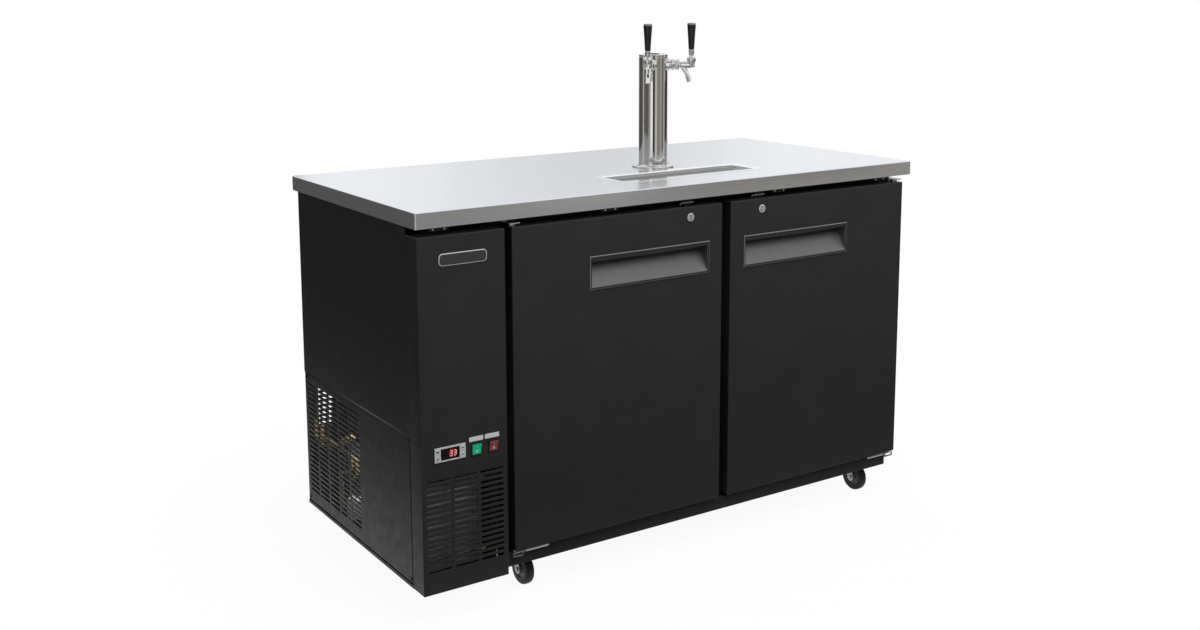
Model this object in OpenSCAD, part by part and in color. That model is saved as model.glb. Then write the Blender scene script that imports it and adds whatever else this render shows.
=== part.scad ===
// Direct draw beer dispenser: a two-door keg cooler with a tap tower on its counter.
// Millimetres, +Z up, +X to the right seen from the front, and the front faces -Y.
// The origin lies on the floor under the middle of the counter.

/* [Counter] */
// Width of the counter
counter_w = 1470; // [1440:1:1700]
// Depth of the counter, front to back
counter_d = 688; // [670:1:760]
// Thickness of the counter
counter_t = 36; // [32:1:50]
// Height of the counter's top above the floor
counter_z = 925; // [915:1:1000]

/* [Cabinet] */
// Width of the compressor compartment at the left
compartment_w = 214; // [208:1:250]
// Step from the counter's end in to the casing
side_inset = 4; // [3:0.5:15]
// Step from the counter's front edge back to the doors
front_inset = 4; // [4:0.5:12]
// Step from the counter's back edge in to the casing
back_inset = 26; // [5:1:50]
// Height of the insulated box's underside
box_z = 115; // [112:1:130]
// Thickness of the insulated walls
wall_t = 60; // [50:1:70]
// Thickness of the painted and stainless sheets
sheet_t = 1.2; // [0.8:0.1:2]
// Thickness of the inner liner
liner_t = 1; // [0.6:0.1:1.6]
// Width of the post between the doors
post_w = 106; // [90:1:130]
// Depth of the post between the doors
post_d = 70; // [50:1:90]

/* [Doors] */
// Thickness of a door without its gasket
door_t = 55; // [48:1:62]
// Depth of the door gasket
gasket_t = 12; // [9:0.5:16]
// Width of the gasket's strip
gasket_w = 16; // [12:0.5:20]
// Step from the door's edge in to the gasket
gasket_in = 19; // [18:0.5:24]
// Gap between the compartment and the left door
door_gap_left = 18; // [15:0.5:26]
// Gap between the two doors
door_gap_mid = 26; // [12:0.5:36]
// Gap between the right door and the casing's side
door_gap_right = 20; // [15:0.5:26]
// Gap between the doors and the counter
door_gap_top = 19; // [18:0.5:26]
// Gap between the insulated box's underside and the doors' lower edge
door_gap_bottom = 8; // [7:0.5:12]
// Step from the door's edge in to its hinge pin
hinge_in = 12; // [10:0.5:14]
// Step from the door's front back to its hinge pin
hinge_back = 22; // [18:0.5:23]
// Radius of the hinge pins
pin_r = 5; // [4:0.25:6]
// Depth of the hinge pins in the door
pin_depth = 24; // [16:1:40]
// Running clearance round the hinge pins
pin_clear = 0.08; // [0.04:0.01:0.1]

/* [Door handles] */
// Width of the handle's bezel
handle_w = 348; // [300:1:380]
// Height of the handle's bezel
handle_h = 79; // [70:1:90]
// Step from the door's free edge in to the handle
handle_edge = 41; // [30:1:70]
// Step from the door's top down to the handle
handle_drop = 88; // [80:1:140]
// Depth of the handle's pocket
handle_depth = 30; // [22:1:36]
// Width of the bezel's border
handle_border = 6; // [5:0.5:8]
// Rise of the pocket's sloping floor
handle_rise = 52; // [30:1:54]

/* [Door locks] */
// Radius of the lock's rim
lock_r = 10; // [9.5:0.5:12]
// Radius of the lock's turning plug
plug_r = 6; // [4:0.5:7]
// Step from the door's free edge in to the lock
lock_edge = 98.5; // [60:0.5:160]
// Step from the door's top down to the lock
lock_drop = 25.5; // [21:0.5:26]
// Reach of the lock's cam from the plug's axis
cam_len = 36; // [34:0.5:38]

/* [Service panels] */
// Length of the front panel's return round the casing's corner
panel_wrap = 52; // [40:1:60]
// Height of the compartment's underside
pan_z = 74; // [60:1:80]
// Height of the side panel's lower edge
side_panel_z0 = 82; // [82:1:95]
// Height of the side panel's upper edge
side_panel_z1 = 424; // [415:1:440]
// Height of a vent slot
slot_h = 5.6; // [4:0.2:7]
// Spacing of the vent rows
slot_pitch = 12.7; // [11:0.1:13]
// Length of a vent slot in the front panel
front_slot_w = 58; // [40:1:58]
// Length of a vent slot in the side panel
side_slot_w = 56; // [40:1:60]
// Web between two columns of vent slots
slot_web = 8.5; // [6:0.5:9]
// Rows of vent slots in the front panel
front_rows = 17; // [8:1:18]
// Rows of vent slots in the side panel
side_rows = 23; // [8:1:23]
// Height of the front panel's top vent row
front_vent_z = 331; // [320:1:340]
// Height of the side panel's top vent row
side_vent_z = 399; // [395:1:400]

/* [Controls] */
// Width of the temperature controller's bezel
controller_w = 75.5; // [70:0.5:80]
// Height of the temperature controller's bezel
controller_h = 32; // [30:0.5:38]
// Step from the compartment's left side in to the controller
controller_in = 31; // [25:0.5:36]
// Height of the controls' middle
controls_z = 386; // [380:0.5:400]
// Step from the controls' middle up to the controller's middle
controller_up = 4; // [0:0.5:6]
// Width of a controller key
key_w = 6.5; // [5:0.25:7]
// Height of a controller key
key_h = 8.5; // [7:0.25:10]
// Width of a rocker switch's bezel
rocker_w = 28; // [24:0.5:30]
// Height of a rocker switch's bezel
rocker_h = 28.5; // [26:0.5:32]
// Spacing of the two rocker switches
rocker_pitch = 43; // [40:0.5:44]
// Step from the compartment's right side in to the nearer rocker's middle
rocker_in = 35; // [30:0.5:36]

/* [Tap tower] */
// Radius of the tower's column
column_r = 38.1; // [36:0.1:44]
// Wall of the tower's column
column_wall = 1.6; // [1:0.1:3]
// Height of the column without its cap
column_h = 285; // [285:1:340]
// Radius of the tower's flange
flange_r = 56.5; // [52:0.5:64]
// Thickness of the tower's flange
flange_t = 5; // [3:0.5:8]
// Step from the middle between the doors right to the tower's axis
tower_right = 6; // [0:1:12]
// Step from the counter's front edge back to the tower's axis
tower_back = 313; // [300:1:400]
// Height of the shanks above the counter
shank_z = 265; // [240:1:265]
// Turn of each faucet away from straight ahead, in degrees
faucet_turn = 45; // [40:1:60]

/* [Faucets] */
// Radius of the shank's collar
collar_r = 15.5; // [13:0.5:16]
// Radius of the shank's thread
shank_r = 11; // [10:0.25:11]
// Radius of the coupling nut
nut_r = 15; // [13.5:0.1:16]
// Radius of the faucet's barrel
barrel_r = 9.5; // [9:0.25:11]
// Radius of the faucet's bonnet
bonnet_r = 11.5; // [11:0.25:12]
// Reach of the lever's axis from the column's axis
lever_reach = 98; // [96:0.5:110]
// Height of the lever's pivot above the shank's axis
pivot_z = 14; // [13.5:0.25:15]
// Radius of the spout
spout_r = 6.5; // [6:0.25:8]
// Fall of the spout's tip below the shank's axis
spout_fall = 43; // [38:1:52]
// Length of the tap handle
tap_len = 68; // [50:1:120]
// Radius of the tap handle at its top
tap_top_r = 11.25; // [8:0.25:16]
// Radius of the tap handle at its foot
tap_foot_r = 7.25; // [6.5:0.25:9]
// Height of the tap handle's foot above the shank's axis
tap_foot_z = 38.5; // [38:0.5:50]

/* [Drip tray] */
// Width of the drip tray's flange
tray_w = 446; // [380:1:520]
// Depth of the drip tray's flange, front to back
tray_d = 132; // [125:1:136]
// Step from the middle between the doors left to the tray's middle
tray_left = 14; // [0:1:20]
// Width of the tray's flange on the counter
tray_rim = 15; // [10:0.5:20]
// Depth of the tray's basin
tray_h = 28; // [20:1:30]
// Step from the counter's front edge back to the tray
tray_back = 104; // [80:1:108]
// Thickness of the grate
grate_t = 3; // [2:0.25:5]
// Step from the counter's top down to the grate
grate_drop = 7; // [2:0.25:8]

/* [Casters] */
// Radius of the wheels
wheel_r = 37.5; // [30:0.5:38]
// Width of the wheels
wheel_w = 24; // [18:0.5:30]
// Radius of the axles
axle_r = 5; // [4:0.25:6]
// Step from the swivel's axis to the axle
trail = 22; // [16:0.5:26]
// Step from the insulated box's sides in to the swivels
caster_side = 85; // [80:1:140]
// Step from the doors' front back to the front swivels
caster_front = 104; // [98:1:160]
// Step from the casing's back in to the rear swivels
caster_rear = 68; // [66:1:120]
// Height of the caster plates' top
caster_z = 102; // [101:0.5:106]
// Height of the base rails' lower edge
rail_z = 83; // [80:0.5:95]
// Step from the doors' front back to the base rail
rail_back = 16; // [10:1:24]

/* [Cooling machine] */
// Radius of the compressor's shell
compressor_r = 78; // [60:1:82]
// Height of the compressor's shell
compressor_h = 168; // [130:1:190]
// Radius of the condenser fan
fan_r = 72; // [60:1:75]
// Height of the condenser fan's axis
fan_z = 215; // [205:1:225]
// Radius of the evaporator fan
evaporator_fan_r = 60; // [45:1:65]
// Radius of the copper tubes
tube_r = 4; // [3:0.25:5]

/* [Hidden] */
$fn = 64;
// Gap that keeps neighbouring sheets and slabs separate
seam = 0.3;
// Running clearance of small shafts
shaft_clear = 0.06;
// Overrun of a cut past the face it opens
over = 1;

half_w = counter_w / 2;
half_d = counter_d / 2;
counter_under = counter_z - counter_t;
left_x = side_inset - half_w;
right_x = half_w - side_inset;
front_y = front_inset - half_d;
back_y = half_d - back_inset;
box_x = left_x + compartment_w;
frame_y = front_y + door_t + gasket_t;

// Inside faces of the keg space
inner_x0 = box_x + wall_t;
inner_x1 = right_x - wall_t;
inner_y1 = back_y - wall_t;
inner_z0 = box_z + wall_t;
inner_z1 = counter_under - wall_t;
// The kegs stand on a raised deck
deck_t = 2;
deck_gap = 12;

// Doors, drawn with the hinge edge at x = 0, the front at y = 0 and the foot at z = 0
door_z = box_z + door_gap_bottom;
door_h = counter_under - door_gap_top - door_z;
door_w = (right_x - box_x - door_gap_left - door_gap_mid - door_gap_right) / 2;
left_door_x = box_x + door_gap_left;
right_door_x = right_x - door_gap_right;
mid_x = left_door_x + door_w + door_gap_mid / 2;
door_lip = 2;
handle_x = door_w - handle_edge - handle_w;
handle_z = door_h - handle_drop - handle_h;
handle_proud = 2;
handle_lap = 3;
handle_shell = 2.5;
handle_throat = 5;
lock_x = door_w - lock_edge;
lock_z = door_h - lock_drop;
barrel_len = 15;
cam_t = 4;
cam_w = 12;
cam_y = 18;
cam_room = 2;
lock_proud = 2;

// Hinge and strike brackets
bracket_t = 3;
bracket_side = 14;
bracket_tail = 46;
boss_r = 9;
strike_w = 28;
strike_y = 10;
strike_clear = 3;
plate_rise = 5;

// Controls
bezel_t = 3.2;
key_proud = 0.6;
key_depth = 4;
key_gap = 0.25;
key_rise = 8;
key_edge = 4;
key_room = 1;
controller_depth = 50;
controller_lap = 2.5;
controller_x = left_x + controller_in + controller_w / 2;
controller_z = controls_z + controller_up;
window_w = controller_w - 4 * key_w - 4;
window_h = controller_h - 7;
window_t = 1;
rocker_x = [box_x - rocker_in - rocker_pitch, box_x - rocker_in];
rocker_lap = 1.2;
rocker_wall = 1;
rocker_bezel_t = 2;
rocker_depth = 22;
rocker_cup = 13;
rocker_pivot_y = 2;
rocker_pin_r = 1.5;
rocker_tilt = 10;
rocker_gap = 0.6;

// Tap tower and faucets; a faucet is drawn along +X from the column's axis, at the shank's height
tower_x = mid_x + tower_right;
tower_y = tower_back - half_d;
line_hole_r = 28;
line_r = 4;
line_in = 16;
line_seat = 4;
line_drop = 26;
flange_bevel = 2;
collar_end = 58;
collar_lip = 6;
collar_step = 1.5;
collar_root = 5;
nut_start = 57;
nut_end = 68;
shank_end = 62;
shank_start = 20.5;
shank_bore_r = 4.4;
spigot_r = shank_r + 0.6;
valve_r = 6.6;
lever_ball_r = 6;
pivot_pin_r = 2.5;
pivot_pin_half = 9;
lever_rod_r = 3.3;
lever_tip_r = 2.2;
lever_tip_z = 4.5;
lever_slot = 4;
cap_start = 4;
cap_len = 10;
cap_step = 1.5;
tap_socket = 16;
tower_cap_t = 7;
plunger_rod_r = 3;
plunger_collar_r = 6.2;
plunger_gap = 3.5;

// Drip tray
tray_x = mid_x - tray_left;
tray_y = tray_back + tray_d / 2 - half_d;
basin_w = tray_w - 2 * tray_rim;
basin_d = tray_d - 2 * tray_rim;
tray_sheet = 1;
tray_corner_r = 14;
grate_gap = 1;
grate_z = counter_z - grate_drop - grate_t;
post_size = 12;
grate_slot_w = 4.5;
grate_slot_pitch = 10;
grate_bar = 10;

// Casters
caster_x = [box_x + caster_side, right_x - caster_side];
caster_y = [front_y + caster_front, back_y - caster_rear];
plate_t = 4;
race_t = 4;
race_r = 22;
kingpin_r = 6;
fork_top = caster_z - plate_t - race_t - seam;
fork_t = 6;
fork_side = 1.2;
leg_t = 3;
rail_t = 3;
bar_w = 90;

// Cooling machine
machine_x = (left_x + box_x) / 2;
front_cols = 3;
side_cols = 5;
rear_cols = 1;
rear_rows = 8;
rear_slot_w = 46;
rear_vent_z = 370;
rear_edge = 29;
rear_field_x = left_x + rear_edge;
front_field_x = machine_x - (front_cols * front_slot_w + (front_cols - 1) * slot_web) / 2;
coil_left = 17;
coil_right = 68;
coil_back = 16;
coil_x0 = left_x + coil_left;
coil_x1 = box_x - coil_right;
coil_y = front_y + coil_back;
coil_d = 44;
coil_plate = 2;
coil_z0 = pan_z + sheet_t;
coil_h = 263;
coil_z1 = coil_z0 + coil_h;
coil_rows = 10;
fan_left = 6;
fan_x = machine_x - fan_left;
shroud_y = coil_y + coil_d;
shroud_t = 3;
fan_gap = 4;
fan_y = shroud_y + shroud_t + fan_gap;
fan_t = 18;
fan_shaft_r = 3;
fan_blades = 5;
fan_hub_r = 17;
motor_r = 30;
motor_len = 32;
compressor_back = 178;
compressor_rise = 22;
compressor_y = back_y - compressor_back;
compressor_z = pan_z + sheet_t + compressor_rise;
compressor_top = compressor_z + compressor_h;
evaporator_d = 75;
evaporator_w = 280;
evaporator_h = 280;
evaporator_back = 10;
evaporator_drop = 20;
evaporator_x1 = inner_x0 + evaporator_d;
evaporator_y = [inner_y1 - evaporator_back - evaporator_w, inner_y1 - evaporator_back];
evaporator_z = [inner_z1 - evaporator_drop - evaporator_h, inner_z1 - evaporator_drop];
evaporator_mid_y = (evaporator_y[0] + evaporator_y[1]) / 2;
evaporator_mid_z = (evaporator_z[0] + evaporator_z[1]) / 2;
evaporator_fan_gap = 8;
evaporator_coil_h = 72;
evaporator_coil_in = 2;

// The compressor's two stubs
discharge_in = 20;
suction_in = 30;
discharge_x = machine_x + discharge_in;
suction_x = machine_x - suction_in;

// Where the suction line and the liquid line pass through the insulated wall
suction_y = compressor_y;
suction_rise = 56;
liquid_rise = 26;
liquid_step = 60;
suction_z = evaporator_z[0] + suction_rise;
liquid_y = compressor_y - liquid_step;
liquid_z = evaporator_z[0] + liquid_rise;
liquid_r = tube_r - 1;

// The two lines of the condenser's coil
tube_room = 3;
coil_line_in = 14;
coil_line_out = 13;
coil_line_y = coil_y + coil_d - coil_line_in;
coil_line_z = [fan_z - fan_r - coil_line_out, fan_z + fan_r + coil_line_out];

// A box from its limits along each axis
module block(x, y, z) {
  translate([x[0], y[0], z[0]])
    cube([x[1] - x[0], y[1] - y[0], z[1] - z[0]]);
}

// Round bars along each axis, from one limit to the other
module bar_x(x, y, z, r) {
  translate([x[0], y, z])
    rotate([0, 90, 0])
      cylinder(r = r, h = x[1] - x[0]);
}

module bar_y(x, y, z, r) {
  translate([x, y[0], z])
    rotate([-90, 0, 0])
      cylinder(r = r, h = y[1] - y[0]);
}

module bar_z(x, y, z, r) {
  translate([x, y, z[0]])
    cylinder(r = r, h = z[1] - z[0]);
}

// An outline in the YZ plane, extruded along +X
module extrude_x(x) {
  translate([x[0], 0, 0])
    rotate([90, 0, 90])
      linear_extrude(x[1] - x[0])
        children();
}

// A rectangle with round corners
module round_rect(w, d, r) {
  for (sx = [-1, 1])
    for (sy = [-1, 1])
      translate([sx * (w / 2 - r), sy * (d / 2 - r)])
        circle(r);
  square([w - 2 * r, d], center = true);
  square([w, d - 2 * r], center = true);
}

// A vent slot with round ends, in its own plane
module slot(w, h) {
  square([w - h, h], center = true);
  for (s = [-1, 1])
    translate([s * (w - h) / 2, 0])
      circle(h / 2);
}

// A field of vent slots hanging down from its top row
module slot_field(x0, top, w, cols, rows) {
  for (c = [0 : cols - 1])
    for (r = [0 : rows - 1])
      translate([x0 + w / 2 + c * (w + slot_web), top - r * slot_pitch])
        slot(w, slot_h);
}

// A round tube along a list of points, with round elbows
module tube_path(points, r) {
  for (i = [1 : len(points) - 1]) {
    a = points[i - 1];
    b = points[i];
    d = b - a;
    length = norm(d);
    translate(a)
      rotate([0, acos(d[2] / length), atan2(d[1], d[0])])
        cylinder(r = r, h = length);
  }
  if (len(points) > 2)
    for (i = [1 : len(points) - 2])
      translate(points[i])
        sphere(r);
}

// Holes of the two refrigerant lines through the insulated wall
module line_holes() {
  x = [box_x - over, inner_x0 + over];
  bar_x(x, suction_y, suction_z, tube_r + seam);
  bar_x(x, liquid_y, liquid_z, liquid_r + seam);
}

// The insulated cabinet

module cabinet_skin() {
  side_z = [box_z, counter_under];
  inside_x = [box_x + sheet_t + seam, right_x - sheet_t - seam];
  face_y = [frame_y, frame_y + sheet_t];
  opening_z = [inner_z0 + seam, inner_z1 - seam];
  color([0.1, 0.1, 0.1]) {
    block([right_x - sheet_t, right_x], [frame_y, back_y], side_z);
    difference() {
      block([box_x, box_x + sheet_t], [frame_y, back_y], side_z);
      line_holes();
    }
    block(inside_x, [back_y - sheet_t, back_y], side_z);
    block(inside_x, [face_y[1] + seam, back_y - sheet_t - seam], [box_z, box_z + sheet_t]);
    block(inside_x, face_y, [inner_z1, counter_under]);
    block(inside_x, face_y, [box_z, inner_z0]);
    block([inside_x[0], inner_x0], face_y, opening_z);
    block([inner_x1, inside_x[1]], face_y, opening_z);
    block([mid_x - post_w / 2, mid_x + post_w / 2], [frame_y, frame_y + post_d], opening_z);
  }
}

module foam_insulation() {
  x = [box_x + sheet_t, right_x - sheet_t];
  y = [frame_y + sheet_t, back_y - sheet_t];
  wall_z = [inner_z0 - liner_t + seam, inner_z1 + liner_t - seam];
  core_x = [sheet_t - half_w, half_w - sheet_t];
  core_y = [sheet_t - half_d, half_d - sheet_t];
  core_z = [counter_under + sheet_t, counter_z - sheet_t];
  cut_x = [tray_x - basin_w / 2 - seam, tray_x + basin_w / 2 + seam];
  cut_y = [tray_y - basin_d / 2 - seam, tray_y + basin_d / 2 + seam];
  color([0.85, 0.78, 0.6])
    difference() {
      union() {
        block(x, y, [box_z + sheet_t, inner_z0 - liner_t]);
        block(x, y, [inner_z1 + liner_t, counter_under]);
        block([x[0], inner_x0 - liner_t], y, wall_z);
        block([inner_x1 + liner_t, x[1]], y, wall_z);
        block([inner_x0 - liner_t + seam, inner_x1 + liner_t - seam], [inner_y1 + liner_t, y[1]], wall_z);
        block([core_x[0], cut_x[0]], core_y, core_z);
        block([cut_x[1], core_x[1]], core_y, core_z);
        block([cut_x[0] + seam, cut_x[1] - seam], [core_y[0], cut_y[0]], core_z);
        block([cut_x[0] + seam, cut_x[1] - seam], [cut_y[1], core_y[1]], core_z);
      }
      bar_z(tower_x, tower_y, [inner_z1, counter_z], line_hole_r);
      line_holes();
    }
}

module inner_liner() {
  x = [inner_x0 - liner_t, inner_x1 + liner_t];
  y = [frame_y + sheet_t, inner_y1 + liner_t];
  wall_z = [inner_z0 + seam, inner_z1 - seam];
  color([0.72, 0.73, 0.74]) {
    block(x, y, [inner_z0 - liner_t, inner_z0]);
    block([inner_x0 + deck_gap, inner_x1 - deck_gap], [frame_y + post_d + deck_gap, inner_y1 - deck_gap],
          [inner_z0, inner_z0 + deck_t]);
    difference() {
      block(x, y, [inner_z1, inner_z1 + liner_t]);
      bar_z(tower_x, tower_y, [inner_z1 - over, inner_z1 + liner_t + over], line_hole_r);
    }
    difference() {
      block([x[0], inner_x0], y, wall_z);
      line_holes();
    }
    block([inner_x1, x[1]], y, wall_z);
    block([inner_x0 + seam, inner_x1 - seam], [inner_y1, y[1]], wall_z);
  }
}

module countertop() {
  rim_z = counter_under + sheet_t + seam;
  color([0.8, 0.82, 0.84]) {
    difference() {
      block([-half_w, half_w], [-half_d, half_d], [rim_z, counter_z]);
      block([sheet_t - half_w, half_w - sheet_t], [sheet_t - half_d, half_d - sheet_t],
            [rim_z - over, counter_z - sheet_t]);
      translate([tray_x, tray_y, counter_z - sheet_t - over])
        linear_extrude(sheet_t + 2 * over)
          square([basin_w + 2 * seam, basin_d + 2 * seam], center = true);
      bar_z(tower_x, tower_y, [counter_z - sheet_t - over, counter_z + over], line_hole_r);
    }
    difference() {
      block([-half_w, half_w], [-half_d, half_d], [counter_under, counter_under + sheet_t]);
      bar_z(tower_x, tower_y, [counter_under - over, counter_under + sheet_t + over], line_hole_r);
    }
  }
}

module base_frame() {
  rail_y = front_y + rail_back;
  rail_x = [box_x + seam, caster_x[1] + bar_w / 2];
  bar_y0 = rail_y + rail_t + seam;
  back_rail_d = 16;
  back_rail_y = back_y - back_rail_d;
  color([0.12, 0.12, 0.11]) {
    block(rail_x, [rail_y, rail_y + rail_t], [rail_z, box_z - rail_t - seam]);
    block(rail_x, [rail_y, frame_y], [box_z - rail_t, box_z]);
    block(rail_x, [back_rail_y, back_y], [rail_z, box_z]);
    for (x = caster_x) {
      bar = [x - bar_w / 2, x + bar_w / 2];
      block(bar, [bar_y0, back_rail_y - seam], [caster_z, box_z - rail_t - seam]);
      block(bar, [frame_y + seam, back_rail_y - seam], [box_z - rail_t, box_z]);
    }
  }
}

// The compressor compartment

module compartment_casing() {
  rear_x = [left_x + sheet_t + seam, box_x - seam];
  color([0.1, 0.1, 0.1]) {
    block([left_x, left_x + sheet_t], [front_y + panel_wrap + seam, back_y],
          [side_panel_z1 + seam, counter_under]);
    translate([0, back_y, 0])
      rotate([90, 0, 0])
        linear_extrude(sheet_t)
          difference() {
            translate([rear_x[0], pan_z])
              square([rear_x[1] - rear_x[0], counter_under - pan_z]);
            slot_field(rear_field_x, rear_vent_z, rear_slot_w, rear_cols, rear_rows);
          }
    block([rear_x[0], rear_x[1] - sheet_t], [front_y + sheet_t + seam, back_y - sheet_t - seam],
          [pan_z, pan_z + sheet_t]);
    block([left_x, left_x + sheet_t], [front_y + panel_wrap + seam, back_y], [pan_z, side_panel_z0 - seam]);
  }
}

module front_service_panel() {
  z = [pan_z, door_z + door_h];
  return_y = front_y + panel_wrap;
  controller_cut = [controller_w - 2 * controller_lap, controller_h - 2 * controller_lap];
  rocker_cut = [rocker_w - 2 * rocker_lap, rocker_h - 2 * rocker_lap];
  color([0.13, 0.13, 0.13]) {
    translate([0, front_y + sheet_t, 0])
      rotate([90, 0, 0])
        linear_extrude(sheet_t)
          difference() {
            translate([left_x, z[0]])
              square([compartment_w, z[1] - z[0]]);
            slot_field(front_field_x, front_vent_z, front_slot_w, front_cols, front_rows);
            translate([controller_x, controller_z])
              square(controller_cut, center = true);
            for (x = rocker_x)
              translate([x, controls_z])
                square(rocker_cut, center = true);
          }
    block([left_x, left_x + sheet_t], [front_y, return_y], z);
    block([box_x - sheet_t, box_x], [front_y, frame_y], z);
    block([left_x, box_x], [front_y, return_y], [z[1] - sheet_t, z[1]]);
  }
}

module side_service_panel() {
  y = [front_y + panel_wrap + seam, back_y];
  z = [side_panel_z0, side_panel_z1];
  field_edge = 20;
  field_y = y[1] - field_edge - side_cols * side_slot_w - (side_cols - 1) * slot_web;
  color([0.09, 0.09, 0.09])
    extrude_x([left_x, left_x + sheet_t])
      difference() {
        translate([y[0], z[0]])
          square([y[1] - y[0], z[1] - z[0]]);
        slot_field(field_y, side_vent_z, side_slot_w, side_cols, side_rows);
      }
}

module casing_screws() {
  head_r = 4;
  head_t = 1.6;
  edge = 11;
  side_y = [front_y + panel_wrap + edge, back_y - edge];
  side_z = [side_panel_z0 + edge, side_panel_z1 - edge];
  flange_ring = (column_r + flange_r) / 2;
  color([0.55, 0.55, 0.56]) {
    for (y = side_y)
      for (z = side_z)
        bar_x([left_x - head_t, left_x], y, z, head_r);
    for (a = [0, 90, 180, 270])
      translate([tower_x, tower_y, counter_z + flange_t])
        rotate([0, 0, a])
          bar_z(flange_ring, 0, [0, head_t], head_r);
    for (x = [left_x + edge, box_x - edge])
      for (z = [pan_z + 4 * edge, counter_under - edge])
        bar_y(x, [back_y, back_y + head_t], z, head_r);
  }
}

// Doors and their hardware

module place_left() {
  translate([left_door_x, front_y, door_z])
    children();
}

module place_right() {
  translate([right_door_x, front_y, door_z])
    mirror([1, 0, 0])
      children();
}

// Room for the handle's shell, the lock's barrel and cam, and the hinge pins
module door_cuts(pin_room) {
  shell_y = handle_depth + handle_shell;
  block([handle_x + handle_lap, handle_x + handle_w - handle_lap], [-over, shell_y],
        [handle_z + handle_lap, handle_z + handle_h - handle_lap]);
  bar_y(lock_x, [-over, cam_y], lock_z, lock_r - 1);
  bar_y(lock_x, [cam_y - cam_room, cam_y + cam_t + cam_room], lock_z, cam_len + cam_room);
  bar_z(hinge_in, hinge_back, [-over, pin_depth + cam_room], pin_r + pin_room);
  bar_z(hinge_in, hinge_back, [door_h - pin_depth - cam_room, door_h + over], pin_r + pin_room);
}

module door_skin() {
  color([0.13, 0.13, 0.13])
    difference() {
      cube([door_w, door_t - door_lip, door_h]);
      translate([sheet_t, sheet_t, sheet_t])
        cube([door_w - 2 * sheet_t, door_t, door_h - 2 * sheet_t]);
      door_cuts(1);
    }
}

module door_core() {
  color([0.7, 0.71, 0.72])
    difference() {
      union() {
        block([sheet_t, door_w - sheet_t], [sheet_t, door_t - door_lip], [sheet_t, door_h - sheet_t]);
        block([door_lip, door_w - door_lip], [door_t - door_lip, door_t], [door_lip, door_h - door_lip]);
      }
      door_cuts(pin_clear);
    }
}

module door_gasket() {
  y = [door_t, door_t + gasket_t - seam];
  inside = gasket_in + gasket_w;
  color([0.08, 0.08, 0.08])
    difference() {
      block([gasket_in, door_w - gasket_in], y, [gasket_in, door_h - gasket_in]);
      block([inside, door_w - inside], [y[0] - over, y[1] + over], [inside, door_h - inside]);
    }
}

module door_handle() {
  x = [handle_x, handle_x + handle_w];
  z = [handle_z, handle_z + handle_h];
  floor_z = z[0] + handle_border;
  roof_z = z[1] - handle_border;
  heel_z = floor_z + handle_rise;
  color([0.16, 0.16, 0.16])
    difference() {
      union() {
        block(x, [-handle_proud, 0], z);
        block([x[0] + handle_lap, x[1] - handle_lap], [0, handle_depth + handle_shell],
              [z[0] + handle_lap, z[1] - handle_lap]);
      }
      extrude_x([x[0] + handle_border, x[1] - handle_border])
        polygon([
          [-handle_proud - over, floor_z],
          [-handle_proud - over, roof_z - handle_throat],
          [handle_shell, roof_z - handle_throat],
          [handle_shell, roof_z],
          [handle_depth, roof_z],
          [handle_depth, heel_z],
          [-handle_proud, floor_z]
        ]);
    }
}

module lock_barrel() {
  color([0.75, 0.76, 0.77])
    difference() {
      union() {
        bar_y(lock_x, [-lock_proud, 0], lock_z, lock_r);
        bar_y(lock_x, [0, barrel_len], lock_z, lock_r - 1 - seam);
      }
      bar_y(lock_x, [-lock_proud - over, barrel_len + over], lock_z, plug_r + shaft_clear);
    }
}

// The cam points to the hinge side when the door is unlocked
module lock_plug() {
  key_slot_w = 1.4;
  key_slot_h = 0.7 * plug_r;
  color([0.7, 0.71, 0.72]) {
    difference() {
      bar_y(lock_x, [-lock_proud - seam, cam_y + cam_t], lock_z, plug_r);
      block([lock_x - key_slot_w / 2, lock_x + key_slot_w / 2], [-lock_proud - over, over],
            [lock_z - key_slot_h, lock_z + key_slot_h]);
    }
    block([lock_x - cam_len, lock_x], [cam_y, cam_y + cam_t], [lock_z - cam_w / 2, lock_z + cam_w / 2]);
  }
}

// Hinge brackets above and below one door, and the strike in front of its lock's cam
module brackets_of_one_door() {
  z_under = box_z - door_z;
  z_over = counter_under - door_z;
  x = [hinge_in - bracket_side, hinge_in + bracket_side];
  tail_y = frame_y - front_y;
  plate_z = door_h + plate_rise;
  block([x[0], hinge_in + bracket_tail], [hinge_back - bracket_side, tail_y],
        [z_under, z_under + bracket_t]);
  bar_z(hinge_in, hinge_back, [z_under, -seam], boss_r);
  bar_z(hinge_in, hinge_back, [z_under, pin_depth], pin_r);
  block(x, [hinge_back - bracket_side, tail_y], [plate_z, plate_z + bracket_t]);
  block(x, [tail_y - bracket_t, tail_y], [plate_z, z_over]);
  bar_z(hinge_in, hinge_back, [door_h + seam, plate_z], boss_r);
  bar_z(hinge_in, hinge_back, [door_h - pin_depth, plate_z], pin_r);
  block([lock_x - strike_w / 2, lock_x + strike_w / 2], [strike_y, strike_y + bracket_t],
        [door_h + strike_clear, z_over]);
  block([lock_x - strike_w / 2, lock_x + strike_w / 2], [strike_y, strike_y + strike_w],
        [z_over - bracket_t, z_over]);
}

module door_brackets() {
  color([0.78, 0.79, 0.8]) {
    place_left()
      brackets_of_one_door();
    place_right()
      brackets_of_one_door();
  }
}

// The tap tower

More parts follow.
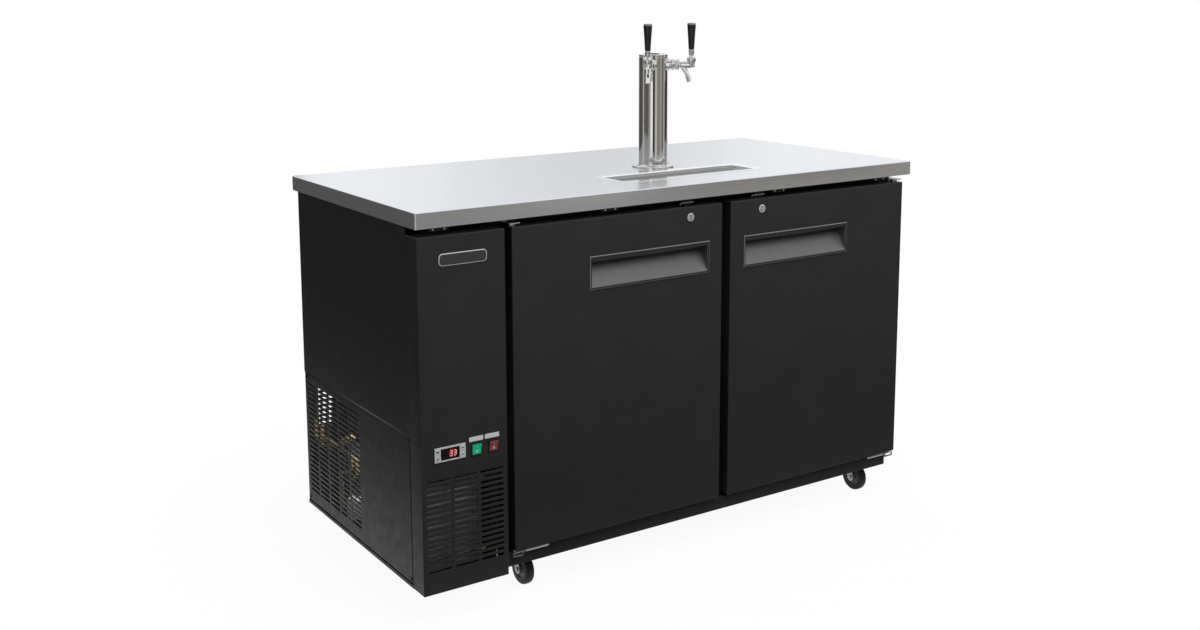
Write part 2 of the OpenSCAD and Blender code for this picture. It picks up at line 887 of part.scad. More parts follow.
module tower_column() {
  bore_r = column_r - column_wall;
  color([0.82, 0.82, 0.82])
    translate([tower_x, tower_y, counter_z])
      difference() {
        rotate_extrude()
          polygon([
            [bore_r, 0],
            [flange_r, 0],
            [flange_r, flange_t - flange_bevel],
            [flange_r - flange_bevel, flange_t],
            [column_r, flange_t],
            [column_r, column_h],
            [bore_r, column_h]
          ]);
        for (a = [-1, 1])
          rotate([0, 0, a * faucet_turn - 90])
            bar_x([column_r / 2, 2 * column_r], 0, shank_z, shank_r + seam);
      }
}

module tower_cap() {
  edge = 2.5;
  plug_h = 8;
  color([0.8, 0.8, 0.8])
    translate([tower_x, tower_y, counter_z + column_h])
      rotate_extrude()
        polygon([
          [0, -plug_h],
          [column_r - column_wall - seam, -plug_h],
          [column_r - column_wall - seam, 0],
          [column_r, 0],
          [column_r, tower_cap_t - edge],
          [column_r - edge, tower_cap_t],
          [0, tower_cap_t]
        ]);
}

module place_faucet(side) {
  translate([tower_x, tower_y, counter_z + shank_z])
    rotate([0, 0, side * faucet_turn - 90])
      children();
}

module one_shank() {
  difference() {
    union() {
      difference() {
        bar_x([column_r - collar_root, collar_end - collar_lip], 0, 0, collar_r);
        translate([0, 0, -2 * collar_r])
          cylinder(r = column_r + shaft_clear, h = 4 * collar_r);
      }
      bar_x([collar_end - collar_lip, collar_end], 0, 0, collar_r - collar_step);
      bar_x([shank_start, shank_end], 0, 0, shank_r);
      bar_x([nut_start, nut_end], 0, 0, nut_r);
    }
    bar_x([shank_start - over, shank_end + over], 0, 0, shank_bore_r);
    bar_x([shank_end, nut_end + over], 0, 0, spigot_r + seam);
  }
}

module faucet_shanks() {
  color([0.8, 0.8, 0.8])
    for (side = [-1, 1])
      place_faucet(side)
        one_shank();
}

module one_faucet_body() {
  spout_root = 13;
  spout_dip = 2;
  spout_lean = 5;
  spout_wall = 1.6;
  bonnet_band = 6;
  bonnet_step = 1;
  valve_end = 7;
  ball_room = 0.5;
  well_room = 1;
  slot_rise = 3;
  spout_from = [shank_end + spout_root, 0, -spout_dip];
  spout_to = [lever_reach - spout_lean, 0, -spout_fall];
  bore_end = spout_to + (spout_to - spout_from) / norm(spout_to - spout_from) * spout_r;
  difference() {
    union() {
      bar_x([shank_end, nut_end], 0, 0, spigot_r);
      bar_x([nut_end, lever_reach + cap_start], 0, 0, barrel_r);
      bar_x([lever_reach + cap_start, lever_reach + cap_len], 0, 0, barrel_r - cap_step);
      bar_z(lever_reach, 0, [0, pivot_z], bonnet_r - bonnet_step);
      bar_z(lever_reach, 0, [pivot_z - bonnet_band, pivot_z], bonnet_r);
      translate([lever_reach, 0, pivot_z])
        sphere(bonnet_r);
      tube_path([spout_from, spout_to], spout_r);
    }
    bar_x([shank_end - over, lever_reach + valve_end], 0, 0, valve_r);
    bar_z(lever_reach, 0, [0, pivot_z], lever_ball_r + well_room);
    translate([lever_reach, 0, pivot_z])
      sphere(lever_ball_r + ball_room);
    bar_y(lever_reach, [-pivot_pin_half - seam, pivot_pin_half + seam], pivot_z, pivot_pin_r + shaft_clear);
    block([lever_reach - lever_slot, lever_reach + bonnet_r + over], [-lever_slot, lever_slot],
          [pivot_z + slot_rise, pivot_z + bonnet_r + over]);
    tube_path([spout_from, bore_end], spout_r - spout_wall);
  }
}

module faucet_bodies() {
  color([0.8, 0.8, 0.8])
    for (side = [-1, 1])
      place_faucet(side)
        one_faucet_body();
}

module faucet_lever(side) {
  ferrule_gap = 2;
  color([0.82, 0.82, 0.82])
    place_faucet(side) {
      translate([lever_reach, 0, pivot_z])
        sphere(lever_ball_r);
      bar_y(lever_reach, [-pivot_pin_half, pivot_pin_half], pivot_z, pivot_pin_r);
      bar_z(lever_reach, 0, [lever_tip_z, pivot_z], lever_tip_r);
      bar_z(lever_reach, 0, [pivot_z, tap_foot_z], lever_rod_r);
      bar_z(lever_reach, 0, [pivot_z + bonnet_r + ferrule_gap, tap_foot_z], tap_foot_r);
      bar_z(lever_reach, 0, [tap_foot_z, tap_foot_z + tap_socket], lever_rod_r);
    }
}

module tap_handle(side) {
  waist_z = 0.72 * tap_len;
  waist_in = 0.6;
  shoulder = 4;
  crown_in = 1.5;
  color([0.05, 0.05, 0.05])
    place_faucet(side)
      translate([lever_reach, 0, tap_foot_z])
        rotate_extrude()
          polygon([
            [lever_rod_r + shaft_clear, 0],
            [tap_foot_r, 0],
            [tap_top_r - waist_in, waist_z],
            [tap_top_r, tap_len - shoulder],
            [tap_top_r - crown_in, tap_len],
            [0, tap_len],
            [0, tap_socket + seam],
            [lever_rod_r + shaft_clear, tap_socket + seam]
          ]);
}

module faucet_plunger(side) {
  end_x = lever_reach + 6.5;
  seal_t = 5;
  collar_t = 3;
  color([0.75, 0.75, 0.76])
    place_faucet(side) {
      bar_x([nut_end, end_x], 0, 0, plunger_rod_r);
      bar_x([nut_end, nut_end + seal_t], 0, 0, plunger_collar_r);
      bar_x([lever_reach - plunger_gap - collar_t, lever_reach - plunger_gap], 0, 0, plunger_collar_r);
      bar_x([lever_reach + plunger_gap, end_x], 0, 0, plunger_collar_r);
    }
}

// Each line leaves its shank, turns down the column and ends in a hose tail under the roof
module beer_lines() {
  nut_h = 10;
  nut_size = 9;
  tail = 18;
  z_shank = counter_z + shank_z;
  z_nut = inner_z1 - line_drop;
  bend = [line_in, 0, z_shank];
  color([0.75, 0.75, 0.72])
    for (side = [-1, 1])
      translate([tower_x, tower_y, 0])
        rotate([0, 0, side * faucet_turn - 90]) {
          tube_path([[shank_start + line_seat, 0, z_shank], bend, [line_in, 0, z_nut]], line_r);
          translate([line_in, 0, z_nut])
            cylinder(r = nut_size, h = nut_h, $fn = 6);
          bar_z(line_in, 0, [z_nut - tail, z_nut], line_r);
        }
}

// The drip tray

// The tray is welded from flat strips: a floor, four walls, four strips of flange and four posts
module drip_tray() {
  basin_z = counter_z - tray_h;
  wall_z = [basin_z + tray_sheet + seam, counter_z - seam];
  wall_d = basin_d / 2 - tray_sheet - seam;
  strip_d = basin_d / 2 - seam;
  post_z = [basin_z + tray_sheet + seam, grate_z - seam];
  post_in = tray_sheet + seam + post_size / 2;
  color([0.8, 0.82, 0.84])
    translate([tray_x, tray_y, 0]) {
      block([-basin_w / 2, basin_w / 2], [-basin_d / 2, basin_d / 2], [basin_z, basin_z + tray_sheet]);
      for (s = [-1, 1]) {
        translate([0, s * (basin_d - tray_sheet) / 2, 0])
          block([-basin_w / 2, basin_w / 2], [-tray_sheet / 2, tray_sheet / 2], wall_z);
        translate([s * (basin_w - tray_sheet) / 2, 0, 0])
          block([-tray_sheet / 2, tray_sheet / 2], [-wall_d, wall_d], wall_z);
        translate([s * (basin_w + tray_rim) / 2, 0, 0])
          block([-tray_rim / 2, tray_rim / 2], [-strip_d, strip_d], [counter_z, counter_z + tray_sheet]);
        translate([0, 0, counter_z])
          linear_extrude(tray_sheet)
            intersection() {
              round_rect(tray_w, tray_d, tray_corner_r);
              translate([0, s * (basin_d + tray_rim) / 2])
                square([tray_w, tray_rim], center = true);
            }
        for (t = [-1, 1])
          translate([s * (basin_w / 2 - post_in), t * (basin_d / 2 - post_in), 0])
            block([-post_size / 2, post_size / 2], [-post_size / 2, post_size / 2], post_z);
      }
    }
}

module drip_grate() {
  w = basin_w - 2 * tray_sheet - 2 * grate_gap;
  d = basin_d - 2 * tray_sheet - 2 * grate_gap;
  slot_len = (d - 3 * grate_bar) / 2;
  slots = floor((w - 2 * grate_bar) / grate_slot_pitch);
  color([0.7, 0.71, 0.72])
    translate([tray_x, tray_y, grate_z])
      linear_extrude(grate_t)
        difference() {
          square([w, d], center = true);
          for (i = [0 : slots - 1])
            for (s = [-1, 1])
              translate([(i - (slots - 1) / 2) * grate_slot_pitch, s * (slot_len + grate_bar) / 2])
                square([grate_slot_w, slot_len], center = true);
        }
}

// Controls on the front panel

// Middles of the keys' columns and rows, from the controller's middle
key_col = controller_w / 2 - key_w / 2 - key_edge;
key_places = [[-key_col, key_rise], [key_col, key_rise], [-key_col, -key_rise], [key_col, -key_rise]];

module controller_case() {
  body_w = controller_w - 2 * controller_lap - 2 * seam;
  body_h = controller_h - 2 * controller_lap - 2 * seam;
  color([0.6, 0.62, 0.64])
    translate([controller_x, front_y, controller_z])
      difference() {
        union() {
          block([-controller_w / 2, controller_w / 2], [-bezel_t, 0],
                [-controller_h / 2, controller_h / 2]);
          block([-body_w / 2, body_w / 2], [0, controller_depth], [-body_h / 2, body_h / 2]);
        }
        block([-window_w / 2 - seam, window_w / 2 + seam], [-bezel_t - over, window_t - bezel_t],
              [-window_h / 2 - seam, window_h / 2 + seam]);
        for (p = key_places)
          translate([p[0], -bezel_t - over, p[1]])
            rotate([-90, 0, 0])
              linear_extrude(key_depth + over + key_room)
                square([key_w + 2 * key_gap, key_h + 2 * key_gap], center = true);
      }
}

module display_window() {
  color([0.03, 0.02, 0.02])
    translate([controller_x, front_y, controller_z])
      block([-window_w / 2, window_w / 2], [-bezel_t, window_t - bezel_t], [-window_h / 2, window_h / 2]);
}

module controller_key(i) {
  place = key_places[i];
  color([0.7, 0.72, 0.74])
    translate([controller_x + place[0], front_y - bezel_t - key_proud, controller_z + place[1]])
      rotate([-90, 0, 0])
        linear_extrude(key_depth + key_proud)
          square([key_w, key_h], center = true);
}

module switch_housings() {
  body_w = rocker_w - 2 * rocker_lap - 2 * seam;
  body_h = rocker_h - 2 * rocker_lap - 2 * seam;
  cup_w = body_w - 2 * rocker_wall;
  cup_h = body_h - 2 * rocker_wall;
  color([0.06, 0.06, 0.06])
    for (x = rocker_x)
      translate([x, front_y, controls_z]) {
        difference() {
          union() {
            block([-rocker_w / 2, rocker_w / 2], [-rocker_bezel_t, 0], [-rocker_h / 2, rocker_h / 2]);
            block([-body_w / 2, body_w / 2], [0, rocker_depth], [-body_h / 2, body_h / 2]);
          }
          block([-cup_w / 2, cup_w / 2], [-rocker_bezel_t - over, rocker_cup], [-cup_h / 2, cup_h / 2]);
        }
        bar_x([-cup_w / 2 - seam, cup_w / 2 + seam], rocker_pivot_y, 0, rocker_pin_r);
      }
}

// The rocker lies with its lower half pressed
module rocker(x) {
  w = rocker_w - 2 * rocker_lap - 2 * seam - 2 * rocker_wall - 2 * rocker_gap;
  h = rocker_h - 2 * rocker_lap - 2 * seam - 2 * rocker_wall - 2 * rocker_gap;
  end_y = -4;
  dip_y = -2.8;
  heel_y = 5;
  heel_h = 3;
  translate([x, front_y + rocker_pivot_y, controls_z])
    rotate([rocker_tilt, 0, 0])
      difference() {
        extrude_x([-w / 2, w / 2])
          polygon([
            [end_y, h / 2], [dip_y, 0], [end_y, -h / 2], [0, -h / 2],
            [heel_y, -heel_h], [heel_y, heel_h], [0, h / 2]
          ]);
        bar_x([-w, w], 0, 0, rocker_pin_r + shaft_clear);
      }
}

module power_rocker() {
  color([0.1, 0.65, 0.3])
    rocker(rocker_x[0]);
}

module light_rocker() {
  color([0.55, 0.1, 0.1])
    rocker(rocker_x[1]);
}

// The cooling machine

module compressor() {
  foot_r = 12;
  foot_lap = 4;
  plate_h = 6;
  stub_h = 40;
  stub_wall = 2;
  base_in = 8;
  base_h = 10;
  foot_in = 0.72 * compressor_r;
  dome = 0.35 * compressor_r;
  color([0.07, 0.07, 0.07])
    translate([machine_x, compressor_y, 0]) {
      translate([0, 0, compressor_z])
        rotate_extrude()
          polygon([
            [0, 0],
            [compressor_r - base_in, 0],
            [compressor_r, base_h],
            [compressor_r, compressor_h - dome],
            [0.86 * compressor_r, compressor_h - 0.45 * dome],
            [0.55 * compressor_r, compressor_h - 0.1 * dome],
            [0, compressor_h]
          ]);
      for (x = [discharge_x, suction_x])
        bar_z(x - machine_x, 0, [compressor_top - stub_h, compressor_top], tube_r + stub_wall);
      for (sx = [-1, 1])
        for (sy = [-1, 1])
          bar_z(sx * foot_in, sy * foot_in, [pan_z + sheet_t, compressor_z + foot_lap], foot_r);
      block([-foot_in - foot_r, foot_in + foot_r], [-foot_in, foot_in],
            [compressor_z - plate_h, compressor_z]);
    }
}

module condenser_coil() {
  x = [coil_x0, coil_x1];
  pipe_r = 4.5;
  pipe_in = 8;
  end_in = 20;
  pitch = (coil_z1 - coil_z0 - 2 * end_in) / (coil_rows - 1);
  color([0.25, 0.22, 0.2]) {
    block(x, [coil_y + pipe_in, coil_y + coil_d], [coil_z0 + pipe_in, coil_z1 - pipe_in]);
    for (end = [x[0] - coil_plate, x[1]])
      block([end, end + coil_plate], [coil_y, coil_y + coil_d], [coil_z0, coil_z1]);
    for (i = [0 : coil_rows - 1])
      bar_x([x[0] - pipe_in, x[1] + pipe_in], coil_y + pipe_in, coil_z0 + end_in + i * pitch, pipe_r);
  }
}

// A plate with the fan's opening, its side post, and the motor on its strap behind the fan
module fan_shroud() {
  x = [coil_x0 - coil_plate, box_x - 2 * tube_r - tube_room - over];
  post_x = [box_x - 34, box_x - 22];
  strap_x = fan_r + 2 * tube_r;
  strap_y = fan_y + fan_t + fan_gap + motor_len;
  strap_t = 2;
  strap_z = [fan_z - 8, fan_z + 8];
  color([0.2, 0.2, 0.2]) {
    difference() {
      block(x, [shroud_y, shroud_y + shroud_t], [coil_z0, coil_z1]);
      bar_y(fan_x, [shroud_y - over, shroud_y + shroud_t + over], fan_z, fan_r + fan_gap);
    }
    difference() {
      block(post_x, [coil_y, shroud_y], [coil_z0, coil_z1]);
      for (z = coil_line_z)
        bar_x([post_x[0] - over, post_x[1] + over], coil_line_y, z, tube_r + seam);
    }
    for (s = [-1, 1])
      translate([fan_x + s * strap_x, 0, 0])
        block([-strap_t, strap_t], [shroud_y, strap_y + strap_t], strap_z);
    block([fan_x - strap_x, fan_x + strap_x], [strap_y, strap_y + strap_t], strap_z);
    bar_y(fan_x, [strap_y - motor_len, strap_y], fan_z, motor_r);
    bar_y(fan_x, [fan_y + fan_gap, strap_y], fan_z, fan_shaft_r);
  }
}

// A fan on its shaft, drawn round the Z axis from z = 0
module fan_wheel(r, blades) {
  pitch_angle = 28;
  blade_t = 1.6;
  blade_w = 0.4 * r;
  root = 2;
  difference() {
    union() {
      cylinder(r = fan_hub_r, h = fan_t);
      for (i = [0 : blades - 1])
        rotate([0, 0, i * 360 / blades])
          translate([0, 0, fan_t / 2])
            rotate([pitch_angle, 0, 0])
              translate([fan_hub_r - root, -blade_w / 2, -blade_t / 2])
                cube([r - fan_hub_r - root, blade_w, blade_t]);
    }
    translate([0, 0, -over])
      cylinder(r = fan_shaft_r + shaft_clear, h = fan_t + 2 * over);
  }
}

module condenser_fan() {
  color([0.3, 0.31, 0.32])
    translate([fan_x, fan_y, fan_z])
      rotate([-90, 0, 0])
        fan_wheel(fan_r, fan_blades);
}

module refrigerant_tubes() {
  drier_r = 11;
  drier_h = 110;
  drier_rise = 60;
  drier_in = 37;
  drier_back = 160;
  drop_back = 130;
  hop = 30;
  drier_z = pan_z + sheet_t + drier_rise;
  drier_x = left_x + drier_in;
  drier_y = shroud_y + drier_back;
  drop_y = shroud_y + drop_back;
  hop_z = compressor_top + hop;
  coil_end = coil_x1 + coil_plate;
  coil_in = inner_x0 + evaporator_coil_in;
  run_x = box_x - tube_r - tube_room;
  lower_z = coil_line_z[0];
  upper_z = coil_line_z[1];
  color([0.72, 0.45, 0.25]) {
    tube_path([
      [discharge_x, compressor_y, compressor_top],
      [discharge_x, compressor_y, hop_z],
      [discharge_x, drop_y, hop_z],
      [run_x, drop_y, hop_z],
      [run_x, drop_y, upper_z],
      [run_x, coil_line_y, upper_z],
      [coil_end, coil_line_y, upper_z]
    ], tube_r);
    tube_path([
      [suction_x, suction_y, compressor_top],
      [suction_x, suction_y, suction_z],
      [coil_in, suction_y, suction_z]
    ], tube_r);
    bar_z(drier_x, drier_y, [drier_z, drier_z + drier_h], drier_r);
    tube_path([
      [coil_end, coil_line_y, lower_z],
      [run_x, coil_line_y, lower_z],
      [run_x, drier_y, lower_z],
      [drier_x, drier_y, lower_z],
      [drier_x, drier_y, liquid_z],
      [drier_x, liquid_y, liquid_z],
      [coil_in, liquid_y, liquid_z]
    ], liquid_r);
  }
}

// The evaporator's cover on the keg space's left wall, with the motor of its fan
module evaporator_cover() {
  x = [inner_x0, evaporator_x1];
  y = evaporator_y;
  z = evaporator_z;
  t = 1.5;
  coil_gap = 12;
  motor_stop = 8;
  strap_t = 3;
  strap_y = [evaporator_mid_y - 12, evaporator_mid_y + 12];
  strap_x = x[1] - t - evaporator_fan_gap - fan_t - motor_len;
  color([0.8, 0.81, 0.82]) {
    difference() {
      block(x, y, z);
      block([x[0] - over, x[1] - t], [y[0] + t, y[1] - t], [z[0] + t, z[1] - t]);
      bar_x([x[1] - t - over, x[1] + over], evaporator_mid_y, evaporator_mid_z, evaporator_fan_r + fan_gap);
    }
    block([x[0] + evaporator_coil_in, x[1] - coil_gap], [y[0] + coil_gap, y[1] - coil_gap],
          [z[0] + t / 2, z[0] + evaporator_coil_h]);
    block([strap_x - strap_t, strap_x], strap_y, [z[0] + t / 2, z[1] - t / 2]);
    bar_x([strap_x, strap_x + motor_len - motor_stop], evaporator_mid_y, evaporator_mid_z, motor_r);
    bar_x([strap_x, x[1] - t - evaporator_fan_gap - 2], evaporator_mid_y, evaporator_mid_z, fan_shaft_r);
  }
}

module evaporator_fan() {
  color([0.15, 0.15, 0.16])
    translate([evaporator_x1 - evaporator_fan_gap - fan_t, evaporator_mid_y, evaporator_mid_z])
      rotate([0, 90, 0])
        fan_wheel(evaporator_fan_r, fan_blades);
}

// Casters, drawn round the swivel's axis

module caster_plates() {
  plate_w = 80;
  plate_d = 95;
  color([0.7, 0.71, 0.72])
    for (x = caster_x)
      for (y = caster_y)
        translate([x, y, 0]) {
          block([-plate_w / 2, plate_w / 2], [-plate_d / 2, plate_d / 2], [caster_z - plate_t, caster_z]);
          bar_z(0, 0, [caster_z - plate_t - race_t, caster_z - plate_t], race_r);
          bar_z(0, 0, [fork_top - fork_t, caster_z - plate_t], kingpin_r);
        }
}

module caster_fork(cx, cy) {
  leg_x = wheel_w / 2 + fork_side;
  leg_r = 2.2 * axle_r;
  leg_y = [-18, 16];
  leg_top = fork_top - 1;
  axle_proud = 3;
  crown_r = leg_x + leg_t + 6;
  color([0.66, 0.67, 0.68])
    translate([caster_x[cx], caster_y[cy], 0]) {
      difference() {
        bar_z(0, 0, [fork_top - fork_t, fork_top], crown_r);
        bar_z(0, 0, [fork_top - fork_t - over, fork_top + over], kingpin_r + shaft_clear);
      }
      for (s = [-1, 1])
        extrude_x([s * (leg_x + leg_t / 2) - leg_t / 2, s * (leg_x + leg_t / 2) + leg_t / 2]) {
          polygon([
            [leg_y[1], leg_top], [leg_y[0], leg_top], [-trail - leg_r, wheel_r], [leg_r - trail, wheel_r]
          ]);
          translate([-trail, wheel_r])
            circle(leg_r);
        }
      bar_x([-leg_x - leg_t - axle_proud, leg_x + leg_t + axle_proud], -trail, wheel_r, axle_r);
    }
}

module caster_wheel(cx, cy) {
  hub_r = 0.6 * wheel_r;
  boss_end_r = 2 * axle_r;
  half = wheel_w / 2;
  tread_half = half - 1;
  dish_half = half - 3;
  slope = 1;
  edge = 5;
  color([0.1, 0.1, 0.1])
    translate([caster_x[cx], caster_y[cy] - trail, wheel_r])
      rotate([0, 90, 0])
        rotate_extrude()
          polygon([
            [axle_r + shaft_clear, -half], [boss_end_r, -half], [boss_end_r + slope, -dish_half],
            [hub_r - slope, -dish_half], [hub_r, -tread_half], [wheel_r - edge, -tread_half],
            [wheel_r, edge - tread_half], [wheel_r, tread_half - edge], [wheel_r - edge, tread_half],
            [hub_r, tread_half], [hub_r - slope, dish_half], [boss_end_r + slope, dish_half],
            [boss_end_r, half], [axle_r + shaft_clear, half]
          ]);
}

cabinet_skin();
foam_insulation();
inner_liner();
countertop();
base_frame();
compartment_casing();
front_service_panel();
side_service_panel();
casing_screws();
door_brackets();
place_left() door_skin();  // left_door_skin
place_left() door_core();  // left_door_core
place_left() door_gasket();  // left_door_gasket
place_left() door_handle();  // left_door_handle
place_left() lock_barrel();  // left_lock_barrel
place_left() lock_plug();  // left_lock_plug
place_right() door_skin();  // right_door_skin
place_right() door_core();  // right_door_core
place_right() door_gasket();  // right_door_gasket
place_right() door_handle();  // right_door_handle
place_right() lock_barrel();  // right_lock_barrel
place_right() lock_plug();  // right_lock_plug
tower_column();
tower_cap();
faucet_shanks();
faucet_bodies();
beer_lines();
faucet_lever(-1);  // left_faucet_lever
tap_handle(-1);  // left_tap_handle
faucet_plunger(-1);  // left_faucet_plunger
faucet_lever(1);  // right_faucet_lever
tap_handle(1);  // right_tap_handle
faucet_plunger(1);  // right_faucet_plunger
drip_tray();
drip_grate();
controller_case();
display_window();
controller_key(0);  // set_key
controller_key(1);  // up_key
controller_key(2);  // defrost_key
controller_key(3);  // down_key
switch_housings();
power_rocker();
light_rocker();
compressor();
condenser_coil();
fan_shroud();
condenser_fan();
refrigerant_tubes();
evaporator_cover();
evaporator_fan();
caster_plates();
caster_fork(0, 0);  // front_left_fork
caster_fork(1, 0);  // front_right_fork
caster_fork(0, 1);  // rear_left_fork
caster_fork(1, 1);  // rear_right_fork
caster_wheel(0, 0);  // front_left_wheel
caster_wheel(1, 0);  // front_right_wheel
caster_wheel(0, 1);  // rear_left_wheel
caster_wheel(1, 1);  // rear_right_wheel
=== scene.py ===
"""Dresses the two-door keg cooler with its counter, tap tower and machine bay, in metres."""

import math

import bmesh
import bpy
from mathutils import Matrix, Quaternion, Vector


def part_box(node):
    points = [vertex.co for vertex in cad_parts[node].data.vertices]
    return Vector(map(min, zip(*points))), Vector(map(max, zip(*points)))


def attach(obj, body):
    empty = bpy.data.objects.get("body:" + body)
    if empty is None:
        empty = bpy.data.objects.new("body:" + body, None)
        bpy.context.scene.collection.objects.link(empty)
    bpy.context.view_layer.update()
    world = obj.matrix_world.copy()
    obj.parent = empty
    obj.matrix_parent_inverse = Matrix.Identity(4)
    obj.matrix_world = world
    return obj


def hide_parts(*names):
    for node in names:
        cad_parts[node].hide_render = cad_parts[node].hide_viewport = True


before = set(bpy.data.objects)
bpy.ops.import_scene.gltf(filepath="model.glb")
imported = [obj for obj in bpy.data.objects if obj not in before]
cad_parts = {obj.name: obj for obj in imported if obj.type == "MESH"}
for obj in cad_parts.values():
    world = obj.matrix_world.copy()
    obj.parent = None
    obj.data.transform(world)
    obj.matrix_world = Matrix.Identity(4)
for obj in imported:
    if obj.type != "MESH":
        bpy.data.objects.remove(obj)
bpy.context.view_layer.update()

MM = 0.001
SHARP = math.radians(38)
SIDES = ("left", "right")
CORNERS = ("front_left", "front_right", "rear_left", "rear_right")
OUTWARD = Matrix.Rotation(math.radians(90), 4, "Y")
COLUMN_R = 38.1 * MM
PANEL_SHEET = 1.1 * MM


def box(node):
    """A node's lowest corner, highest corner and middle."""
    lo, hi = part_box(node)
    return lo, hi, (lo + hi) / 2


def mm(points):
    """Points that are given in millimetres."""
    return [tuple(value * MM for value in point) for point in points]


def grey(value):
    return value, value, value


# Materials

def fill(node, values):
    """Sets a shader node's inputs; an underscore in a name stands for a space."""
    for name, value in values.items():
        node.inputs[name.replace("_", " ")].default_value = value


def add_node(tree, kind, links=None, **values):
    """A shader node with values for its inputs, and links to them from other nodes' outputs."""
    node = tree.nodes.new(f"ShaderNode{kind}")
    fill(node, values)
    for name, source in (links or {}).items():
        tree.links.new(source, node.inputs[name])
    return node


class Finish:
    """A Principled material whose colour, roughness and grain vary with noise in object coordinates."""

    def __init__(self, name, colour, rough, metal=0.0, **sockets):
        self.material = bpy.data.materials.new(name)
        self.material.use_nodes = True
        self.tree = self.material.node_tree
        self.shader = self.tree.nodes["Principled BSDF"]
        self.coords = add_node(self.tree, "TexCoord")
        self.colour = colour
        self.last_bump = None
        fill(self.shader, {"Base Color": (*colour, 1), "Roughness": rough, "Metallic": metal, **sockets})

    def noise(self, scale, stretch, detail):
        mapping = add_node(self.tree, "Mapping", {"Vector": self.coords.outputs["Object"]}, Scale=stretch)
        source = {"Vector": mapping.outputs["Vector"]}
        return add_node(self.tree, "TexNoise", source, Scale=scale, Detail=detail).outputs["Fac"]

    def drive(self, socket, output):
        """Links an output to one of the shader's sockets."""
        self.tree.links.new(output, self.shader.inputs[socket])
        return self

    def mottle(self, scale, spread, stretch=(1, 1, 1), detail=3.0):
        """Lightens and darkens the colour by a share of itself."""
        ramp = add_node(self.tree, "ValToRGB", {"Fac": self.noise(scale, stretch, detail)})
        for element, place, sign in zip(ramp.color_ramp.elements, (0.3, 0.7), (-1, 1)):
            element.position = place
            element.color = (*[min(1.0, c * (1 + sign * spread)) for c in self.colour], 1)
        return self.drive("Base Color", ramp.outputs["Color"])

    def polish(self, scale, low, high, stretch=(1, 1, 1), detail=3.0):
        """Varies the roughness between two values."""
        noise = {"Value": self.noise(scale, stretch, detail)}
        spread = add_node(self.tree, "MapRange", noise, From_Min=0.3, From_Max=0.7, To_Min=low, To_Max=high)
        return self.drive("Roughness", spread.outputs["Result"])

    def grain(self, scale, height, strength=1.0, stretch=(1, 1, 1), detail=2.0):
        """Adds a bump on top of the earlier ones."""
        links = {"Height": self.noise(scale, stretch, detail)}
        if self.last_bump:
            links["Normal"] = self.last_bump.outputs["Normal"]
        self.last_bump = add_node(self.tree, "Bump", links, Distance=height, Strength=strength)
        return self.drive("Normal", self.last_bump.outputs["Normal"])


def powder_coat(name, colour, rough):
    finish = Finish(name, colour, rough, Specular_IOR_Level=0.24)
    finish.mottle(9, 0.06).polish(40, rough - 0.05, rough + 0.06)
    return finish.grain(900, 0.00012, 0.35).grain(2600, 0.00004, 0.3).material


def mottled(name, colour, rough, mottle, grain, metal=0.0, **sockets):
    return Finish(name, colour, rough, metal, **sockets).mottle(*mottle).grain(*grain).material


def plastic(name, colour, rough, grain=0.3, **sockets):
    finish = Finish(name, colour, rough, **sockets)
    finish.mottle(30, 0.05).polish(120, rough - 0.04, rough + 0.05)
    return finish.grain(900, 0.00004, grain).material


def lit(name, colour, rough, grain, glow, strength=1.0):
    return plastic(name, colour, rough, grain, Emission_Color=(*glow, 1), Emission_Strength=strength)


def brushed(name, colour, rough, stretch):
    finish = Finish(name, colour, rough, metal=1.0)
    finish.mottle(1, 0.025, stretch).polish(1, rough - 0.03, rough + 0.04, stretch)
    return finish.grain(1, 0.00001, 0.12, stretch).material


def bright(name, colour, rough):
    finish = Finish(name, colour, rough, metal=1.0)
    finish.mottle(60, 0.03).polish(90, rough, rough + 0.05)
    return finish.grain(25, 0.0001, 0.03).material


ALONG_X = (6, 1400, 1400)
ALONG_Y = (1400, 6, 1400)
ALONG_Z = (1400, 1400, 6)
SPANGLE = (300, 300, 300)

BLACK = powder_coat("black_powder_coat", grey(0.0225), 0.46)
RAIL = powder_coat("rail_paint", (0.016, 0.016, 0.015), 0.42)
# painted light: the compressor's paint is a lighter grey so that it shows lit through the vents of the dark
# bay
COMPRESSOR_PAINTED_LIGHT = powder_coat("compressor_paint", (0.10, 0.10, 0.105), 0.3)
COUNTER = brushed("counter_steel", (0.75, 0.79, 0.835), 0.24, ALONG_X)
# painted highlight: the tray's rim gets steel brighter than the counter's so that it reads white
TRAY_RIM_HIGHLIGHT = brushed("tray_steel_painted_highlight", (0.93, 0.95, 0.97), 0.16, ALONG_X)
GRATE = brushed("grate_steel", (0.40, 0.40, 0.395), 0.3, ALONG_Y)
# painted shade: the tray's well gets nearly black steel to stand for the shade inside the basin
WELL_PAINTED_SHADE = brushed("well_steel_painted_shade", grey(0.03), 0.4, ALONG_X)
POLISHED = bright("polished_steel", (0.76, 0.755, 0.74), 0.05)
CHROME = bright("faucet_chrome", grey(0.72), 0.02)
LOCK = mottled("lock_nickel", (0.72, 0.73, 0.74), 0.3, (90, 0.05), (300, 0.00005, 0.1), 0.5)
SCREW = bright("screw_steel", grey(0.62), 0.22)
ZINC = brushed("zinc_plate", (0.62, 0.63, 0.64), 0.34, SPANGLE)
FORK = brushed("fork_zinc", (0.30, 0.305, 0.31), 0.42, SPANGLE)
LINE = brushed("line_steel", (0.6, 0.6, 0.58), 0.3, ALONG_Z)
COPPER = mottled("drawn_copper", (0.74, 0.57, 0.24), 0.3, (60, 0.05), (25, 0.0001, 0.05), 0.4)
LINER = mottled("stucco_liner", (0.62, 0.63, 0.64), 0.36, (20, 0.05), (150, 0.0012, 0.5), 1.0)
